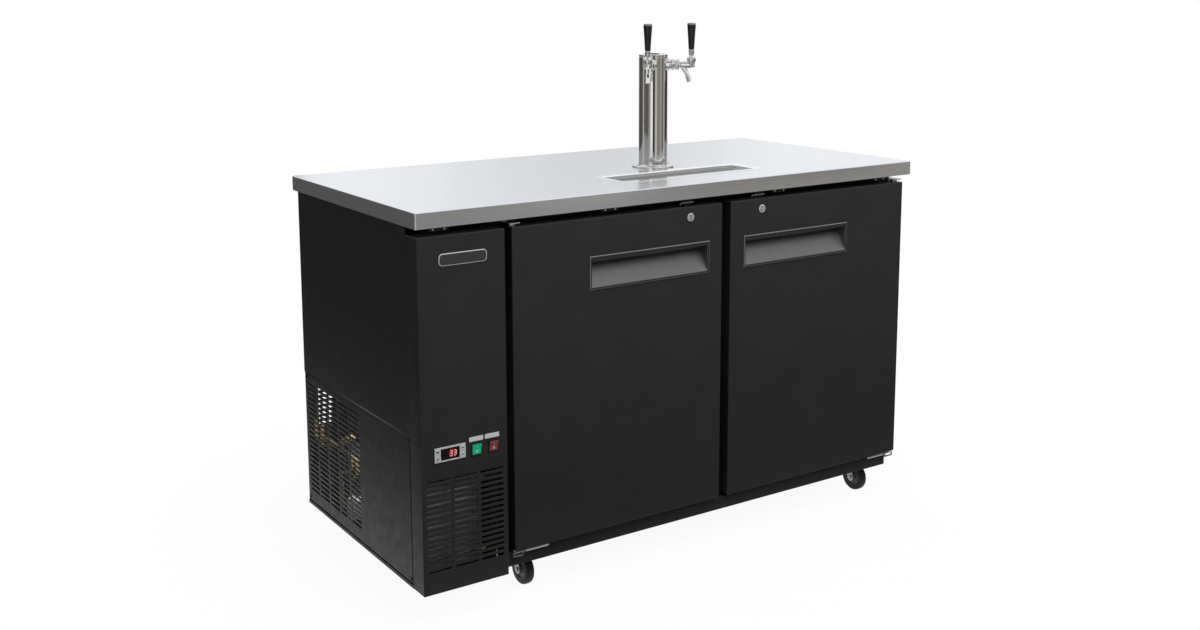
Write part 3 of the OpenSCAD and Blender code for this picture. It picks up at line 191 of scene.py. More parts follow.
FOAM = mottled("cut_foam", (0.72, 0.62, 0.41), 0.9, (60, 0.18), (700, 0.001, 0.7))
FINS, FIN_EDGES = (12, 12, 500), (900, 20, 20)
COIL = mottled("finned_coil", (0.30, 0.29, 0.28), 0.4, (1, 0.7, FINS), (1, 0.0008, 0.6, FIN_EDGES), 0.6)
RUBBER = mottled("soft_gasket", grey(0.018), 0.62, (40, 0.15), (900, 0.0001, 0.4))
TYRE = mottled("wheel_rubber", grey(0.006), 0.5, (60, 0.2), (700, 0.0002, 0.4), Specular_IOR_Level=0.25)
HANDLE = plastic("handle_plastic", (0.066, 0.066, 0.067), 0.4, 0.02, Specular_IOR_Level=1.0)
# painted highlight: a lighter grey on the bezel's chamfered outer edge stands for the bright line light
# draws there
EDGE_PAINTED_HIGHLIGHT = plastic("edge_plastic_painted_highlight", grey(0.13), 0.35, 0.02)
BEZEL = plastic("bezel_plastic", grey(0.017), 0.46, 0.02)
TAP = plastic("tap_plastic", grey(0.010), 0.2, 0.1)
TAP_RIM = plastic("tap_rim", grey(0.16), 0.3, 0.1)
CASE = plastic("controller_plastic", (0.47, 0.50, 0.50), 0.4)
KEY = plastic("key_plastic", (0.56, 0.58, 0.57), 0.5)
# Dark marks printed on the keys; the same dark also paints the shade in the locks' key slots.
MARK_AND_KEYHOLE_SHADE = plastic("key_marks_and_keyhole_shade", (0.035, 0.035, 0.04), 0.5)
SWITCH = plastic("switch_plastic", grey(0.014), 0.34)
LENS = plastic("display_lens", (0.012, 0.006, 0.006), 0.12, 0.05)
DIGIT = lit("lit_digits", (0.3, 0.05, 0.05), 0.4, 0.05, (0.95, 0.55, 0.55))
GLOW = lit("digit_glow", (0.03, 0.003, 0.004), 0.4, 0.05, (0.16, 0.003, 0.008))
GREEN = lit("green_rocker", (0.005, 0.20, 0.09), 0.28, 0.1, (0.01, 0.6, 0.3), 0.32)
RED = plastic("red_rocker", (0.24, 0.055, 0.055), 0.28, 0.1)
WHITE_MARK = plastic("switch_marks", grey(0.75), 0.5)
LABEL = plastic("label_strip", (0.58, 0.59, 0.59), 0.4)
TERMINAL = plastic("terminal_cover", (0.72, 0.72, 0.70), 0.45)
BRASS = mottled("brass", (0.82, 0.66, 0.28), 0.3, (60, 0.05), (25, 0.0001, 0.05), 0.4)
BADGE = plastic("badge_plate", (0.035, 0.035, 0.037), 0.34)
FAN = plastic("fan_plastic", (0.07, 0.07, 0.075), 0.45)
HUB = plastic("wheel_hub", (0.15, 0.155, 0.16), 0.45)


# Mesh helpers

def plane(origin, u, v):
    """Lays a drawing's x along u, its y along v and its z along their normal."""
    u, v = Vector(u), Vector(v)
    place = Matrix((u, v, u.cross(v))).transposed().to_4x4()
    place.translation = Vector(origin)
    return place


def front_plane(x, y, z):
    return plane((x, y, z), (1, 0, 0), (0, 0, 1))


def left_plane(x, y, z):
    return plane((x, y, z), (0, -1, 0), (0, 0, 1))


def top_plane(x, y, z):
    return plane((x, y, z), (1, 0, 0), (0, 1, 0))


def placed(name, data):
    obj = bpy.data.objects.new(name, data)
    bpy.context.scene.collection.objects.link(obj)
    return obj


def join(bm, other):
    """Moves another mesh into this one."""
    mesh = bpy.data.meshes.new("joined")
    other.to_mesh(mesh)
    other.free()
    bm.from_mesh(mesh)
    bpy.data.meshes.remove(mesh)


def piece(name, bm, material, body, slot, *nodes):
    """Turns a mesh into a named piece that rides on a body and stands for CAD nodes."""
    bmesh.ops.remove_doubles(bm, verts=bm.verts, dist=1e-6)
    for face in bm.faces:
        face.smooth = True
    for edge in bm.edges:
        edge.smooth = edge.calc_face_angle(0) < SHARP
    mesh = bpy.data.meshes.new(name)
    bm.to_mesh(mesh)
    bm.free()
    mesh.materials.append(material)
    obj = placed(name, mesh)
    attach(obj, body)
    if nodes:
        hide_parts(*nodes)
    return obj


def even_normals(obj):
    obj.modifiers.new("normals", "WEIGHTED_NORMAL").keep_sharp = True


def solid(name, bm, material, body, slot, *nodes):
    """A closed piece."""
    bmesh.ops.remove_doubles(bm, verts=bm.verts, dist=1e-6)
    bmesh.ops.recalc_face_normals(bm, faces=bm.faces)
    even_normals(piece(name, bm, material, body, slot, *nodes))


def sheet_metal(name, bm, thickness, material, body, slot, *nodes):
    """An open pressed sheet, thickened inwards."""
    obj = piece(name, bm, material, body, slot, *nodes)
    thick = obj.modifiers.new("thickness", "SOLIDIFY")
    thick.thickness = thickness
    thick.offset = -1
    even_normals(obj)


def dress(node, material, bevel):
    """Gives a CAD node its material and softens its edges by a bevel in millimetres."""
    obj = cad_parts[node]
    if not obj.material_slots:
        obj.data.materials.append(material)
    for slot in obj.material_slots:
        slot.material = material
    obj.modifiers.new("weld", "WELD").merge_threshold = 1e-6
    planar = obj.modifiers.new("flat", "DECIMATE")
    planar.decimate_type = "DISSOLVE"
    planar.angle_limit = math.radians(1)
    soft = obj.modifiers.new("bevel", "BEVEL")
    soft.width = bevel * MM
    soft.segments = 2
    soft.limit_method = "ANGLE"
    soft.angle_limit = SHARP
    even_normals(obj)


def arc(cx, cy, r, start, end, steps):
    """Points of an arc, with its angles in degrees."""
    turns = [math.radians(start + (end - start) * i / steps) for i in range(steps + 1)]
    return [(cx + r * math.cos(a), cy + r * math.sin(a)) for a in turns]


def circle(r, cx=0.0, cy=0.0, steps=32):
    return arc(cx, cy, r, 0, 360, steps)[:-1]


def rounded_rect(w, h, r, cx=0.0, cy=0.0):
    """Corners of a rectangle with round corners, counter-clockwise."""
    points = []
    for quarter, (sx, sy) in enumerate(((1, 1), (-1, 1), (-1, -1), (1, -1))):
        start = 90 * quarter
        points += arc(cx + sx * (w / 2 - r), cy + sy * (h / 2 - r), r, start, start + 90, 4)
    return points


def upright(left, right, low, high, y):
    """Corners of an upright rectangle that faces the front."""
    return [(left, y, low), (right, y, low), (right, y, high), (left, y, high)]


def level(left, right, front, back, z):
    """Corners of a level rectangle."""
    return [(left, front, z), (right, front, z), (right, back, z), (left, back, z)]


def ring(bm, points, z=None):
    return [bm.verts.new((*p, z) if z is not None else p) for p in points]


def bridge(bm, rings, close=False):
    """Skins a list of rings, and back to the first one if close is set."""
    for a, b in zip(rings, rings[1:] + rings[:1] if close else rings[1:]):
        for i in range(len(a)):
            j = (i + 1) % len(a)
            bm.faces.new((a[i], a[j], b[j], b[i]))


def cap(bm, verts):
    bm.faces.new(verts)


def add_loft(bm, loops):
    """A closed body through a list of loops of 3-D points."""
    rings = [ring(bm, loop) for loop in loops]
    bridge(bm, rings)
    cap(bm, rings[0][::-1])
    cap(bm, rings[-1])


def add_box(bm, lo, hi, bevel, segments=2):
    lo, hi = Vector(lo), Vector(hi)
    place = Matrix.Translation((lo + hi) / 2) @ Matrix.Diagonal((*(hi - lo), 1))
    made = bmesh.ops.create_cube(bm, size=1, matrix=place)
    edges = dict.fromkeys(edge for vert in made["verts"] for edge in vert.link_edges)
    bmesh.ops.bevel(bm, geom=list(edges), offset=bevel, segments=segments, profile=0.5, affect="EDGES")


def add_pad(bm, w, h, corner, base, top, edge, cx=0.0, cy=0.0):
    """A plate with round corners and a rounded upper edge, drawn flat from its base to its top."""
    steps = [(0, base), (0, top - edge)]
    steps += [(edge - x, top - edge + y) for x, y in arc(0, 0, edge, 30, 90, 2)]
    loops = []
    for inset, z in steps:
        outline = rounded_rect(w - 2 * inset, h - 2 * inset, max(corner - inset, 0.2 * MM), cx, cy)
        loops.append([(x, y, z) for x, y in outline])
    add_loft(bm, loops)


def add_pan(bm, w, h, depth, edge, corner, windows=()):
    """A pressed sheet open at its back: its face at z = 0 with windows in it, its sides down to -depth."""
    profile = [(0, -depth), (0, -edge)]
    profile += [(edge - x, y - edge) for x, y in arc(0, 0, edge, 30, 90, 2)]
    rings = []
    for inset, z in profile:
        rings.append(ring(bm, rounded_rect(w - 2 * inset, h - 2 * inset, max(corner - inset, 0.3 * MM)), z))
    bridge(bm, rings)
    edges = [bm.edges.get((a, b)) for a, b in zip(rings[-1], rings[-1][1:] + rings[-1][:1])]
    for window in windows:
        verts = ring(bm, window, 0)
        edges += [bm.edges.new((a, b)) for a, b in zip(verts, verts[1:] + verts[:1])]
    filled = bmesh.ops.triangle_fill(bm, edges=edges, use_beauty=True, use_dissolve=False, normal=(0, 0, 1))
    for face in filled["geom"]:
        if isinstance(face, bmesh.types.BMFace) and face.normal.z < 0:
            face.normal_flip()


def cut_slot(bm, left, right, low, high):
    """Cuts a slot in the upper side of a pan, from left to right and from low to high in depth."""
    facing_up = 0.99

    def upper():
        bm.normal_update()
        return [face for face in bm.faces if face.normal.y > facing_up]

    planes = [((x, 0, 0), (1, 0, 0)) for x in (left, right)]
    planes += [((0, 0, z), (0, 0, 1)) for z in (low, high)]
    for point, normal in planes:
        faces = upper()
        edges = dict.fromkeys(edge for face in faces for edge in face.edges)
        verts = dict.fromkeys(vert for face in faces for vert in face.verts)
        bmesh.ops.bisect_plane(bm, geom=faces + list(edges) + list(verts), plane_co=point, plane_no=normal)
    gone = []
    for face in upper():
        at = face.calc_center_median()
        if left < at.x < right and low < at.z < high:
            gone.append(face)
    bmesh.ops.delete(bm, geom=gone, context="FACES")


def turned(bm, profile, place, steps=64, flutes=None, hollow=False):
    """Turns (radius, height) points round a placed z axis; flutes are (from, to, count, depth)."""
    rings = []
    for r, h in profile:
        loop = []
        for i in range(steps):
            a = 2 * math.pi * i / steps
            share = 1.0
            if flutes and flutes[0] <= h <= flutes[1]:
                share -= flutes[3] * (0.5 + 0.5 * math.cos(flutes[2] * a))
            loop.append(place @ Vector((r * share * math.cos(a), r * share * math.sin(a), h)))
        rings.append(ring(bm, loop))
    bridge(bm, rings, close=hollow)


def lathe(name, profile, place, steps, material, body, slot, *nodes, hollow=False):
    """A piece that is one turned body."""
    bm = bmesh.new()
    turned(bm, profile, place, steps, hollow=hollow)
    solid(name, bm, material, body, slot, *nodes)


def rounded(points, radius, steps=5):
    """A polyline with its corners rounded off."""
    points = [Vector(p) for p in points]
    path = [points[0]]
    for before, corner, after in zip(points, points[1:], points[2:]):
        back, on = before - corner, after - corner
        reach = min(radius, 0.48 * back.length, 0.48 * on.length)
        start, end = corner + back.normalized() * reach, corner + on.normalized() * reach
        for i in range(steps + 1):
            t = i / steps
            path.append(start * (1 - t) ** 2 + corner * 2 * t * (1 - t) + end * t ** 2)
    return path + [points[-1]]


def add_tube(bm, path, radius, sides=14, bore=None, bore_depth=0.0):
    """A round tube along a path of vectors, its far end bored if asked."""
    along = [(b - a).normalized() for a, b in zip(path, path[1:])]
    tangents = [along[0]] + [(a + b).normalized() for a, b in zip(along, along[1:])] + [along[-1]]
    across = tangents[0].orthogonal().normalized()
    loops = []
    for point, tangent in zip(path, tangents):
        across = (across - tangent * across.dot(tangent)).normalized()
        other = tangent.cross(across)
        radii = [radius]
        if bore and point is path[-1]:
            radii = [radius, bore]
        for r in radii:
            loops.append([point + x * across + y * other for x, y in circle(r, steps=sides)])
    if bore:
        loops.append([p - tangents[-1] * bore_depth for p in loops[-1]])
    add_loft(bm, loops)


# The counter and the doors

def build_counter():
    lo, hi, middle = box("countertop")
    tray_lo, tray_hi, tray = box("drip_tray")
    w, d = hi.x - lo.x, hi.y - lo.y
    corner, hem, sheet, rims, play = 3 * MM, 11 * MM, 1.2 * MM, 29 * MM, 3 * MM
    hole_w, hole_d = tray_hi.x - tray_lo.x - rims, tray_hi.y - tray_lo.y - rims
    window = rounded_rect(hole_w, hole_d, corner, tray.x, tray.y)
    bm = bmesh.new()
    add_pan(bm, w, d, hi.z - lo.z, edge=2.6 * MM, corner=3.5 * MM, windows=[window])
    bm.transform(top_plane(middle.x, middle.y, hi.z))
    sheet_metal("counter_sheet", bm, sheet, COUNTER, "cabinet", "counter_steel", "countertop")
    bm = bmesh.new()
    outer = rounded_rect(w - play, d - play, corner, middle.x, middle.y)
    inner = rounded_rect(w - 2 * hem, d - 2 * hem, corner, middle.x, middle.y)
    z0, z1 = lo.z, lo.z + sheet
    section = ((outer, z0), (outer, z1), (inner, z1), (inner, z0))
    bridge(bm, [ring(bm, outline, z) for outline, z in section], close=True)
    solid("counter_hem", bm, COUNTER, "cabinet", "counter_steel", "countertop")
    bm = bmesh.new()
    add_box(bm, (lo.x + hem, lo.y + hem, z0 + 0.3 * MM), (hi.x - hem, hi.y - hem, z1 + 1.5 * MM), 0.4 * MM)
    solid("counter_underside", bm, ZINC, "cabinet", "zinc_steel", "countertop")


def build_door(side):
    skin = f"{side}_door_skin"
    lo, hi, middle = box(skin)
    grip_lo, grip_hi, grip = box(f"{side}_door_handle")
    lock = box(f"{side}_lock_barrel")[2] - middle
    cam_back = lo.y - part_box(f"{side}_lock_plug")[1].y
    lap, lock_hole, cam_half, cam_front, cam_room = 6 * MM, 9.2 * MM, 9 * MM, 2 * MM, 6 * MM
    grip_w, grip_h = grip_hi.x - grip_lo.x - lap, grip_hi.z - grip_lo.z - lap
    windows = [
        rounded_rect(grip_w, grip_h, 2 * MM, grip.x - middle.x, grip.z - middle.z),
        circle(lock_hole, lock.x, lock.z),
    ]
    bm = bmesh.new()
    add_pan(bm, hi.x - lo.x, hi.z - lo.z, hi.y - lo.y, edge=2.4 * MM, corner=2.6 * MM, windows=windows)
    cut_slot(bm, lock.x - cam_half, lock.x + cam_half, cam_back - cam_front, cam_back + cam_room)
    bm.transform(front_plane(middle.x, lo.y, middle.z))
    sheet_metal(f"{side}_door_sheet", bm, PANEL_SHEET, BLACK, f"{side}_door", "black_paint", skin)
    build_handle(side, grip_lo, grip_hi, lo.y)
    build_gasket(side)
    dress(f"{side}_door_core", LINER, 1.5)
    dress(f"{side}_lock_barrel", LOCK, 0.7)
    dress(f"{side}_lock_plug", LOCK, 0.4)


def add_frame(bm, outer, inner, y, outer_rise, inner_rise):
    """A rectangular frame on the plane y, with its outer and inner edges in front of it by their rise."""
    back = y + 0.3 * MM
    rings = []
    for outline, at in ((outer, back), (outer, y - outer_rise), (inner, y - inner_rise), (inner, back)):
        rings.append(ring(bm, upright(*outline, at)))
    bridge(bm, rings, close=True)


def build_handle(side, lo, hi, face_y):
    """A recessed grip with a lip at the top and a slope that rises to the back, in a dark bezel."""
    border, lip, shell, rise, lap = 6 * MM, 5 * MM, 2.5 * MM, 52 * MM, 3 * MM
    x0, x1 = lo.x + border, hi.x - border
    floor, roof = lo.z + border, hi.z - border
    back = hi.y - shell
    pocket = [
        (lo.y, floor), (back, floor + rise), (back, roof), (face_y + shell, roof),
        (face_y + shell, roof - lip), (lo.y, roof - lip),
    ]
    bm = bmesh.new()
    ends = [ring(bm, [(x, y, z) for y, z in pocket]) for x in (x0, x1)]
    for i in range(len(pocket) - 1):
        bm.faces.new((ends[0][i], ends[0][i + 1], ends[1][i + 1], ends[1][i]))
    cap(bm, ends[0])
    cap(bm, ends[1])
    mouth = [ends[0][0], ends[1][0], ends[1][-1], ends[0][-1]]

    def inside(inset):
        return lo.x + inset, hi.x - inset, lo.z + inset, hi.z - inset

    rings = [mouth]
    for inset, y in ((0, lo.y), (0, face_y), (lap, face_y), (lap, hi.y)):
        rings.append(ring(bm, upright(*inside(inset), y)))
    bridge(bm, rings)
    cap(bm, rings[-1])
    bmesh.ops.recalc_face_normals(bm, faces=bm.faces)
    sharp = [edge for edge in bm.edges if edge.calc_face_angle(0) > math.radians(20)]
    bmesh.ops.bevel(bm, geom=sharp, offset=1.1 * MM, segments=2, profile=0.5, affect="EDGES")
    solid(f"{side}_grip", bm, HANDLE, f"{side}_door", "handle_plastic", f"{side}_door_handle")

    bare, proud, line = 0.8 * MM, 0.3 * MM, inside(2 * MM)
    inner = (x0 - bare, x1 + bare, floor - bare, roof - lip + 0.2 * MM)
    # The chamfer ring round the bezel is lighter than the bezel itself: a painted highlight along its edge.
    for name, outer, opening, outer_rise, inner_rise, material in (
        ("bezel_edge", inside(0), line, 0, 1.2 * MM, EDGE_PAINTED_HIGHLIGHT),
        ("bezel", line, inner, proud, proud, BEZEL),
    ):
        bm = bmesh.new()
        add_frame(bm, outer, opening, lo.y, outer_rise, inner_rise)
        solid(f"{side}_{name}", bm, material, f"{side}_door", "handle_plastic", f"{side}_door_handle")


def build_gasket(side):
    """A bellows seal with two lobes round the door's back."""
    lo, hi, middle = box(f"{side}_door_gasket")
    w, h, t = hi.x - lo.x, hi.z - lo.z, hi.y - lo.y
    section = [
        (1, 0), (3, 0.25), (0.5, 0.45), (0.3, 0.8), (2, 1.0), (7, 0.98),
        (9, 0.9), (13.6, 1.0), (15.6, 0.8), (14.5, 0.5), (12, 0.3), (15, 0),
    ]
    bm = bmesh.new()
    rings = []
    for inset, share in section:
        outline = rounded_rect(w - 2 * inset * MM, h - 2 * inset * MM, 10 * MM, middle.x, middle.z)
        rings.append(ring(bm, [(x, lo.y + t * share, z) for x, z in outline]))
    bridge(bm, rings, close=True)
    solid(f"{side}_seal", bm, RUBBER, f"{side}_door", "gasket_rubber", f"{side}_door_gasket")


# The machine bay

SLOT_H, SLOT_PITCH, SLOT_WEB = 5.6 * MM, 12.7 * MM, 8.5 * MM


def slots(x0, top, width, cols, rows):
    """Outlines of a field of vent slots that hangs down from its top row."""
    made = []
    for col in range(cols):
        for row in range(rows):
            x = x0 + width / 2 + col * (width + SLOT_WEB)
            made.append(rounded_rect(width, SLOT_H, 0.46 * SLOT_H, x, top - row * SLOT_PITCH))
    return made


def build_bay():
    """The front and side service panels with their vents and the holes for the controls."""
    lo, hi, middle = box("front_service_panel")
    case_lo, case_hi, case = box("controller_case")
    housing = box("switch_housings")[2]
    cols, rows, width, top_row = 3, 17, 58 * MM, 331 * MM
    lap, rocker_hole, corner = 5 * MM, 24 * MM, MM
    field = -(cols * width + (cols - 1) * SLOT_WEB) / 2
    windows = slots(field, top_row - middle.z, width, cols, rows)
    case_w, case_h = case_hi.x - case_lo.x - lap, case_hi.z - case_lo.z - lap
    windows.append(rounded_rect(case_w, case_h, corner, case.x - middle.x, case.z - middle.z))
    for name in ("power_rocker", "light_rocker"):
        x = box(name)[2].x - middle.x
        windows.append(rounded_rect(rocker_hole, rocker_hole, corner, x, housing.z - middle.z))
    bm = bmesh.new()
    w, h = hi.x - lo.x, hi.z - lo.z
    add_pan(bm, w, h, depth=52 * MM, edge=2 * MM, corner=2.2 * MM, windows=windows)
    bm.transform(front_plane(middle.x, lo.y, middle.z))
    sheet_metal("bay_front_sheet", bm, PANEL_SHEET, BLACK, "cabinet", "black_paint", "front_service_panel")

    lo, hi, middle = box("side_service_panel")
    cols, rows, width, top_row = 5, 23, 56 * MM, 399 * MM
    field, gap = -(hi.y - middle.y) + 20 * MM, 2.6 * MM
    windows = slots(field, top_row - middle.z, width, cols, rows)
    bm = bmesh.new()
    w, h = hi.y - lo.y - 2 * gap, hi.z - lo.z - 2 * gap
    add_pan(bm, w, h, depth=8 * MM, edge=3 * MM, corner=3.2 * MM, windows=windows)
    bm.transform(left_plane(lo.x, middle.y, middle.z))
    sheet_metal("bay_side_sheet", bm, PANEL_SHEET, BLACK, "cabinet", "black_paint", "side_service_panel")


def build_machine():
    """The compressor's terminal cover, and the pipe run and drier that show through the side vents."""
    lo, _, middle = box("compressor")
    shell_r, half, low, high = 78 * MM, 22 * MM, lo.z + 26 * MM, lo.z + 78 * MM
    turn = Matrix.Rotation(math.radians(215), 4, "Z")
    bm = bmesh.new()
    add_box(bm, (shell_r - 6 * MM, -half, low), (shell_r + 24 * MM, half, high), 3 * MM, 3)
    bm.transform(Matrix.Translation((middle.x, middle.y, 0)) @ turn)
    solid("terminal_cover", bm, TERMINAL, "cabinet", "key_plastic")
    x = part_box("side_service_panel")[0].x + 24 * MM
    run = [(312, 292), (312, 236), (232, 262), (96, 270), (92, 222), (150, 206), (150, 110)]
    bm = bmesh.new()
    for inward, lift in ((0, 0), (16, -18)):
        path = [(x + inward * MM, y * MM, (z + lift) * MM) for y, z in run]
        add_tube(bm, rounded(path, 18 * MM), 6 * MM)
    solid("pipe_run", bm, COPPER, "cabinet", "copper")
    drier = [(0, -42), (3.5, -42), (3.5, -34), (10, -26), (10, 26), (3.5, 34), (3.5, 42), (0, 42)]
    lean = Matrix.Rotation(math.radians(64), 4, "X")
    place = Matrix.Translation((x, 110 * MM, 296 * MM)) @ lean
    lathe("filter_drier", mm(drier), place, 32, BRASS, "cabinet", "copper")


# The tap tower

def build_tower():
    lo, hi, axis = box("tower_column")
    place = Matrix.Translation((axis.x, axis.y, lo.z))
    r, flange, foot = COLUMN_R, hi.x - axis.x, 5 * MM
    tall, thick = hi.z - lo.z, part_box("tower_cap")[1].z - hi.z
    profile = [(0, 0), (flange, 0), (flange, 2.6 * MM)]
    profile += arc(flange - 2 * MM, 2.8 * MM, 2 * MM, 0, 90, 4)
    profile += [(r + 3 * MM, foot), (r + 1 * MM, foot + 0.7 * MM), (r, foot + 3 * MM)]
    profile += [(r, tall - 0.8 * MM), (r - 0.6 * MM, tall), (0, tall)]
    lathe("column_tube", profile, place, 96, POLISHED, "cabinet", "polished_steel", "tower_column")
    profile = [(0, -1 * MM), (r - 0.9 * MM, -1 * MM), (r - 0.9 * MM, 0.6 * MM), (r, 1.1 * MM)]
    profile += arc(r - 2.4 * MM, thick - 2.4 * MM, 2.4 * MM, 0, 90, 5)
    profile += [(r - 3.4 * MM, thick), (r - 4.2 * MM, thick - 2.6 * MM), (0, thick - 2.4 * MM)]
    place = Matrix.Translation((axis.x, axis.y, hi.z))
    lathe("column_cap", profile, place, 96, POLISHED, "cabinet", "polished_steel", "tower_cap")


def faucet_place(side):
    """A drawing whose x runs out along the shank and whose z points up, from the column's axis."""
    column, shanks = box("tower_column")[2], box("faucet_shanks")[2]
    out = Vector((-1 if side == "left" else 1, -1, 0)).normalized()
    return plane((column.x, column.y, shanks.z), out, Vector((0, 0, 1)).cross(out))


def build_faucet(side):
    place = faucet_place(side)
    along = place @ OUTWARD
    bm = bmesh.new()
    collar = [
        (0, 20), (10.6, 20), (10.6, 34), (15.5, 34), (15.5, 43), (14.6, 44.4), (12.4, 45), (12.4, 46.6),
        (14.2, 47.4), (15.5, 50), (14.6, 53.4), (12.2, 55.4), (11.6, 57.4), (0, 57.4),
    ]
    turned(bm, mm(collar), along, 64)
    nut = [
        (0, 57.2), (11.6, 57.2), (13.8, 58.2), (15, 60.4), (15, 64.6), (13.8, 66.8), (11.6, 68),
        (6.8, 68), (6.8, 59), (0, 59),
    ]
    turned(bm, mm(nut), along, 96, flutes=(60 * MM, 65 * MM, 24, 0.04))
    solid(f"{side}_shank", bm, CHROME, "cabinet", "faucet_chrome", "faucet_shanks")

    bm = bmesh.new()
    barrel = [
        (0, 105.6), (6.8, 105.6), (6.8, 67.5), (8.4, 67.5), (8.2, 70), (8.6, 72), (9.5, 74), (9.5, 100.4),
        (9.1, 101.6), (8.1, 102.4), (8.1, 106), (7.4, 107.6), (5.5, 108), (0, 108),
    ]
    turned(bm, mm(barrel), along, 64)
    over = place @ Matrix.Translation((98 * MM, 0, 0))
    bonnet = [
        (0, -4), (9.8, -4), (10.4, 2), (10.4, 7.6), (11.3, 8), (11.6, 9.2), (11.6, 13), (11.2, 14.2),
        (11.2, 15),
    ]
    bonnet += [(11.4 * x, 15 + 10.2 * y) for x, y in arc(0, 0, 1, 5, 65, 6)]
    bonnet += [(4.4, 25.4), (4.0, 24), (0, 23)]
    turned(bm, mm(bonnet), over, 64, flutes=(8.4 * MM, 13.6 * MM, 40, 0.02))
    bend = mm([(72, 0, 0), (78, 0, -9), (88, 0, -24), (93.6, 0, -44)])
    spout = rounded([place @ Vector(point) for point in bend], 14 * MM, 8)
    add_tube(bm, spout, 6.5 * MM, sides=32, bore=4.9 * MM, bore_depth=18 * MM)
    solid(f"{side}_faucet", bm, CHROME, "cabinet", "faucet_chrome", "faucet_bodies")

    body, handle = f"{side}_lever", f"{side}_tap_handle"
    lever = [
        (0, 4.5), (2.2, 4.5), (2.2, 8.4), (5.6, 11), (6, 14), (5.4, 17), (3.3, 19.4), (3.3, 24.5),
        (5.6, 24.5), (6.8, 25.3), (7.25, 26.5), (7.25, 37.1), (6.7, 38.3), (5, 38.5), (0, 38.5),
    ]
    node = f"{side}_faucet_lever"
    lathe(f"{side}_lever_stem", mm(lever), over, 48, CHROME, body, "faucet_chrome", node)
    grip = [
        (0, 38.5), (6.2, 38.5), (7.2, 39.4), (7.4, 41.5), (8.6, 63.5), (10.4, 89.5), (11, 97), (11, 101.2),
        (0, 101.2),
    ]
    lathe(f"{side}_tap_grip", mm(grip), over, 64, TAP, body, "tap_plastic", handle)
    crown = [(0, 101), (11.1, 101), (11.25, 102), (11, 103.8), (10, 105.4), (8.4, 106.3), (0, 106.5)]
    lathe(f"{side}_tap_crown", mm(crown), over, 64, TAP_RIM, body, "tap_plastic", handle)
    dress(f"{side}_faucet_plunger", GRATE, 0.3)


# The drip tray

def build_tray():
    lo, hi, middle = box("drip_tray")
    w, d, top = hi.x - lo.x, hi.y - lo.y, hi.z
    rim = [
        (0, -1.0, 14), (0, -0.45, 14), (0.3, -0.1, 13.7), (0.9, 0, 13), (13.4, 0, 6), (14.6, -0.4, 5.4),
        (15.6, -1.6, 5), (16, -4, 5), (16.1, -9, 5),
    ]
    # The rim gets the bright steel, a painted highlight; the well below it gets the nearly black steel,
    # painted shade in the basin.
    well = [(16.1, -9, 5), (16.6, -24, 5), (18, -26.6, 4), (21, -28, 3.4)]
    for name, steps, material in (("tray_rim", rim, TRAY_RIM_HIGHLIGHT), ("tray_well", well, WELL_PAINTED_SHADE)):
        bm = bmesh.new()
        rings = []
        for inset, drop, corner in mm(steps):
            outline = rounded_rect(w - 2 * inset, d - 2 * inset, corner, middle.x, middle.y)
            rings.append(ring(bm, outline, top + drop))
        bridge(bm, rings)
        if steps is well:
            cap(bm, rings[-1])
        sheet_metal(name, bm, 0.9 * MM, material, "cabinet", "counter_steel", "drip_tray")

    lo, hi, middle = box("drip_grate")
    w, d = hi.x - lo.x, hi.y - lo.y
    bar, pitch, wide = 10 * MM, 10 * MM, 5.8 * MM
    length = (d - 3 * bar) / 2
    count = int((w - 2 * bar) / pitch)
    windows = []
    for i in range(count):
        for sign in (-1, 1):
            x = (i - (count - 1) / 2) * pitch
            windows.append(rounded_rect(wide, length, 0.48 * wide, x, sign * (length + bar) / 2))
    bm = bmesh.new()
    add_pan(bm, w, d, hi.z - lo.z, edge=0.8 * MM, corner=3 * MM, windows=windows)
    bm.transform(top_plane(middle.x, middle.y, hi.z))
    sheet_metal("tray_grate", bm, 0.7 * MM, GRATE, "grate", "grate_steel", "drip_grate")


# Controls, badge and labels

def plate(name, place, material, slot, **pad):
    """A pad that lies on the cabinet."""
    bm = bmesh.new()
    add_pad(bm, **pad)
    bm.transform(place)
    solid(name, bm, material, "cabinet", slot)


def build_plates():
    """The bare badge plate and the plain label strips on the machine bay's front."""
    face_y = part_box("front_service_panel")[0].y
    w, h, border = 117 * MM, 27 * MM, 3.6 * MM
    badge = front_plane(-621.5 * MM, face_y, 817.5 * MM)
    plate("badge_border", badge, LOCK, "lock_chrome",
          w=w, h=h, corner=9 * MM, base=0, top=1.6 * MM, edge=0.8 * MM)
    plate("badge_plate", badge, BADGE, "switch_plastic",
          w=w - border, h=h - border, corner=7.2 * MM, base=0.2 * MM, top=2.1 * MM, edge=0.5 * MM)
    label_h, label_z, corner = 10.5 * MM, 409.8 * MM, 0.8 * MM
    for name, x0, x1 in (("left_label", -614, -579), ("right_label", -574.5, -538.5)):
        place = front_plane((x0 + x1) / 2 * MM, face_y, label_z)
        plate(f"{name}_strip", place, LABEL, "key_plastic",
              w=(x1 - x0) * MM, h=label_h, corner=corner, base=-0.2 * MM, top=0.35 * MM, edge=0.15 * MM)


def add_three(bm, cx, w, h, t):
    """The lit bars of a seven-segment 3, drawn flat."""
    across, up = w - 1.2 * t, h / 2 - 0.7 * t
    bars = [(0, z, across, t) for z in (h / 2, 0, -h / 2)] + [(w / 2, z, t, up) for z in (h / 4, -h / 4)]
    for x, y, bar_w, bar_h in bars:
        add_pad(bm, bar_w, bar_h, 0.4 * t, base=0, top=0.12 * MM, edge=0.05 * MM, cx=cx + x, cy=y)


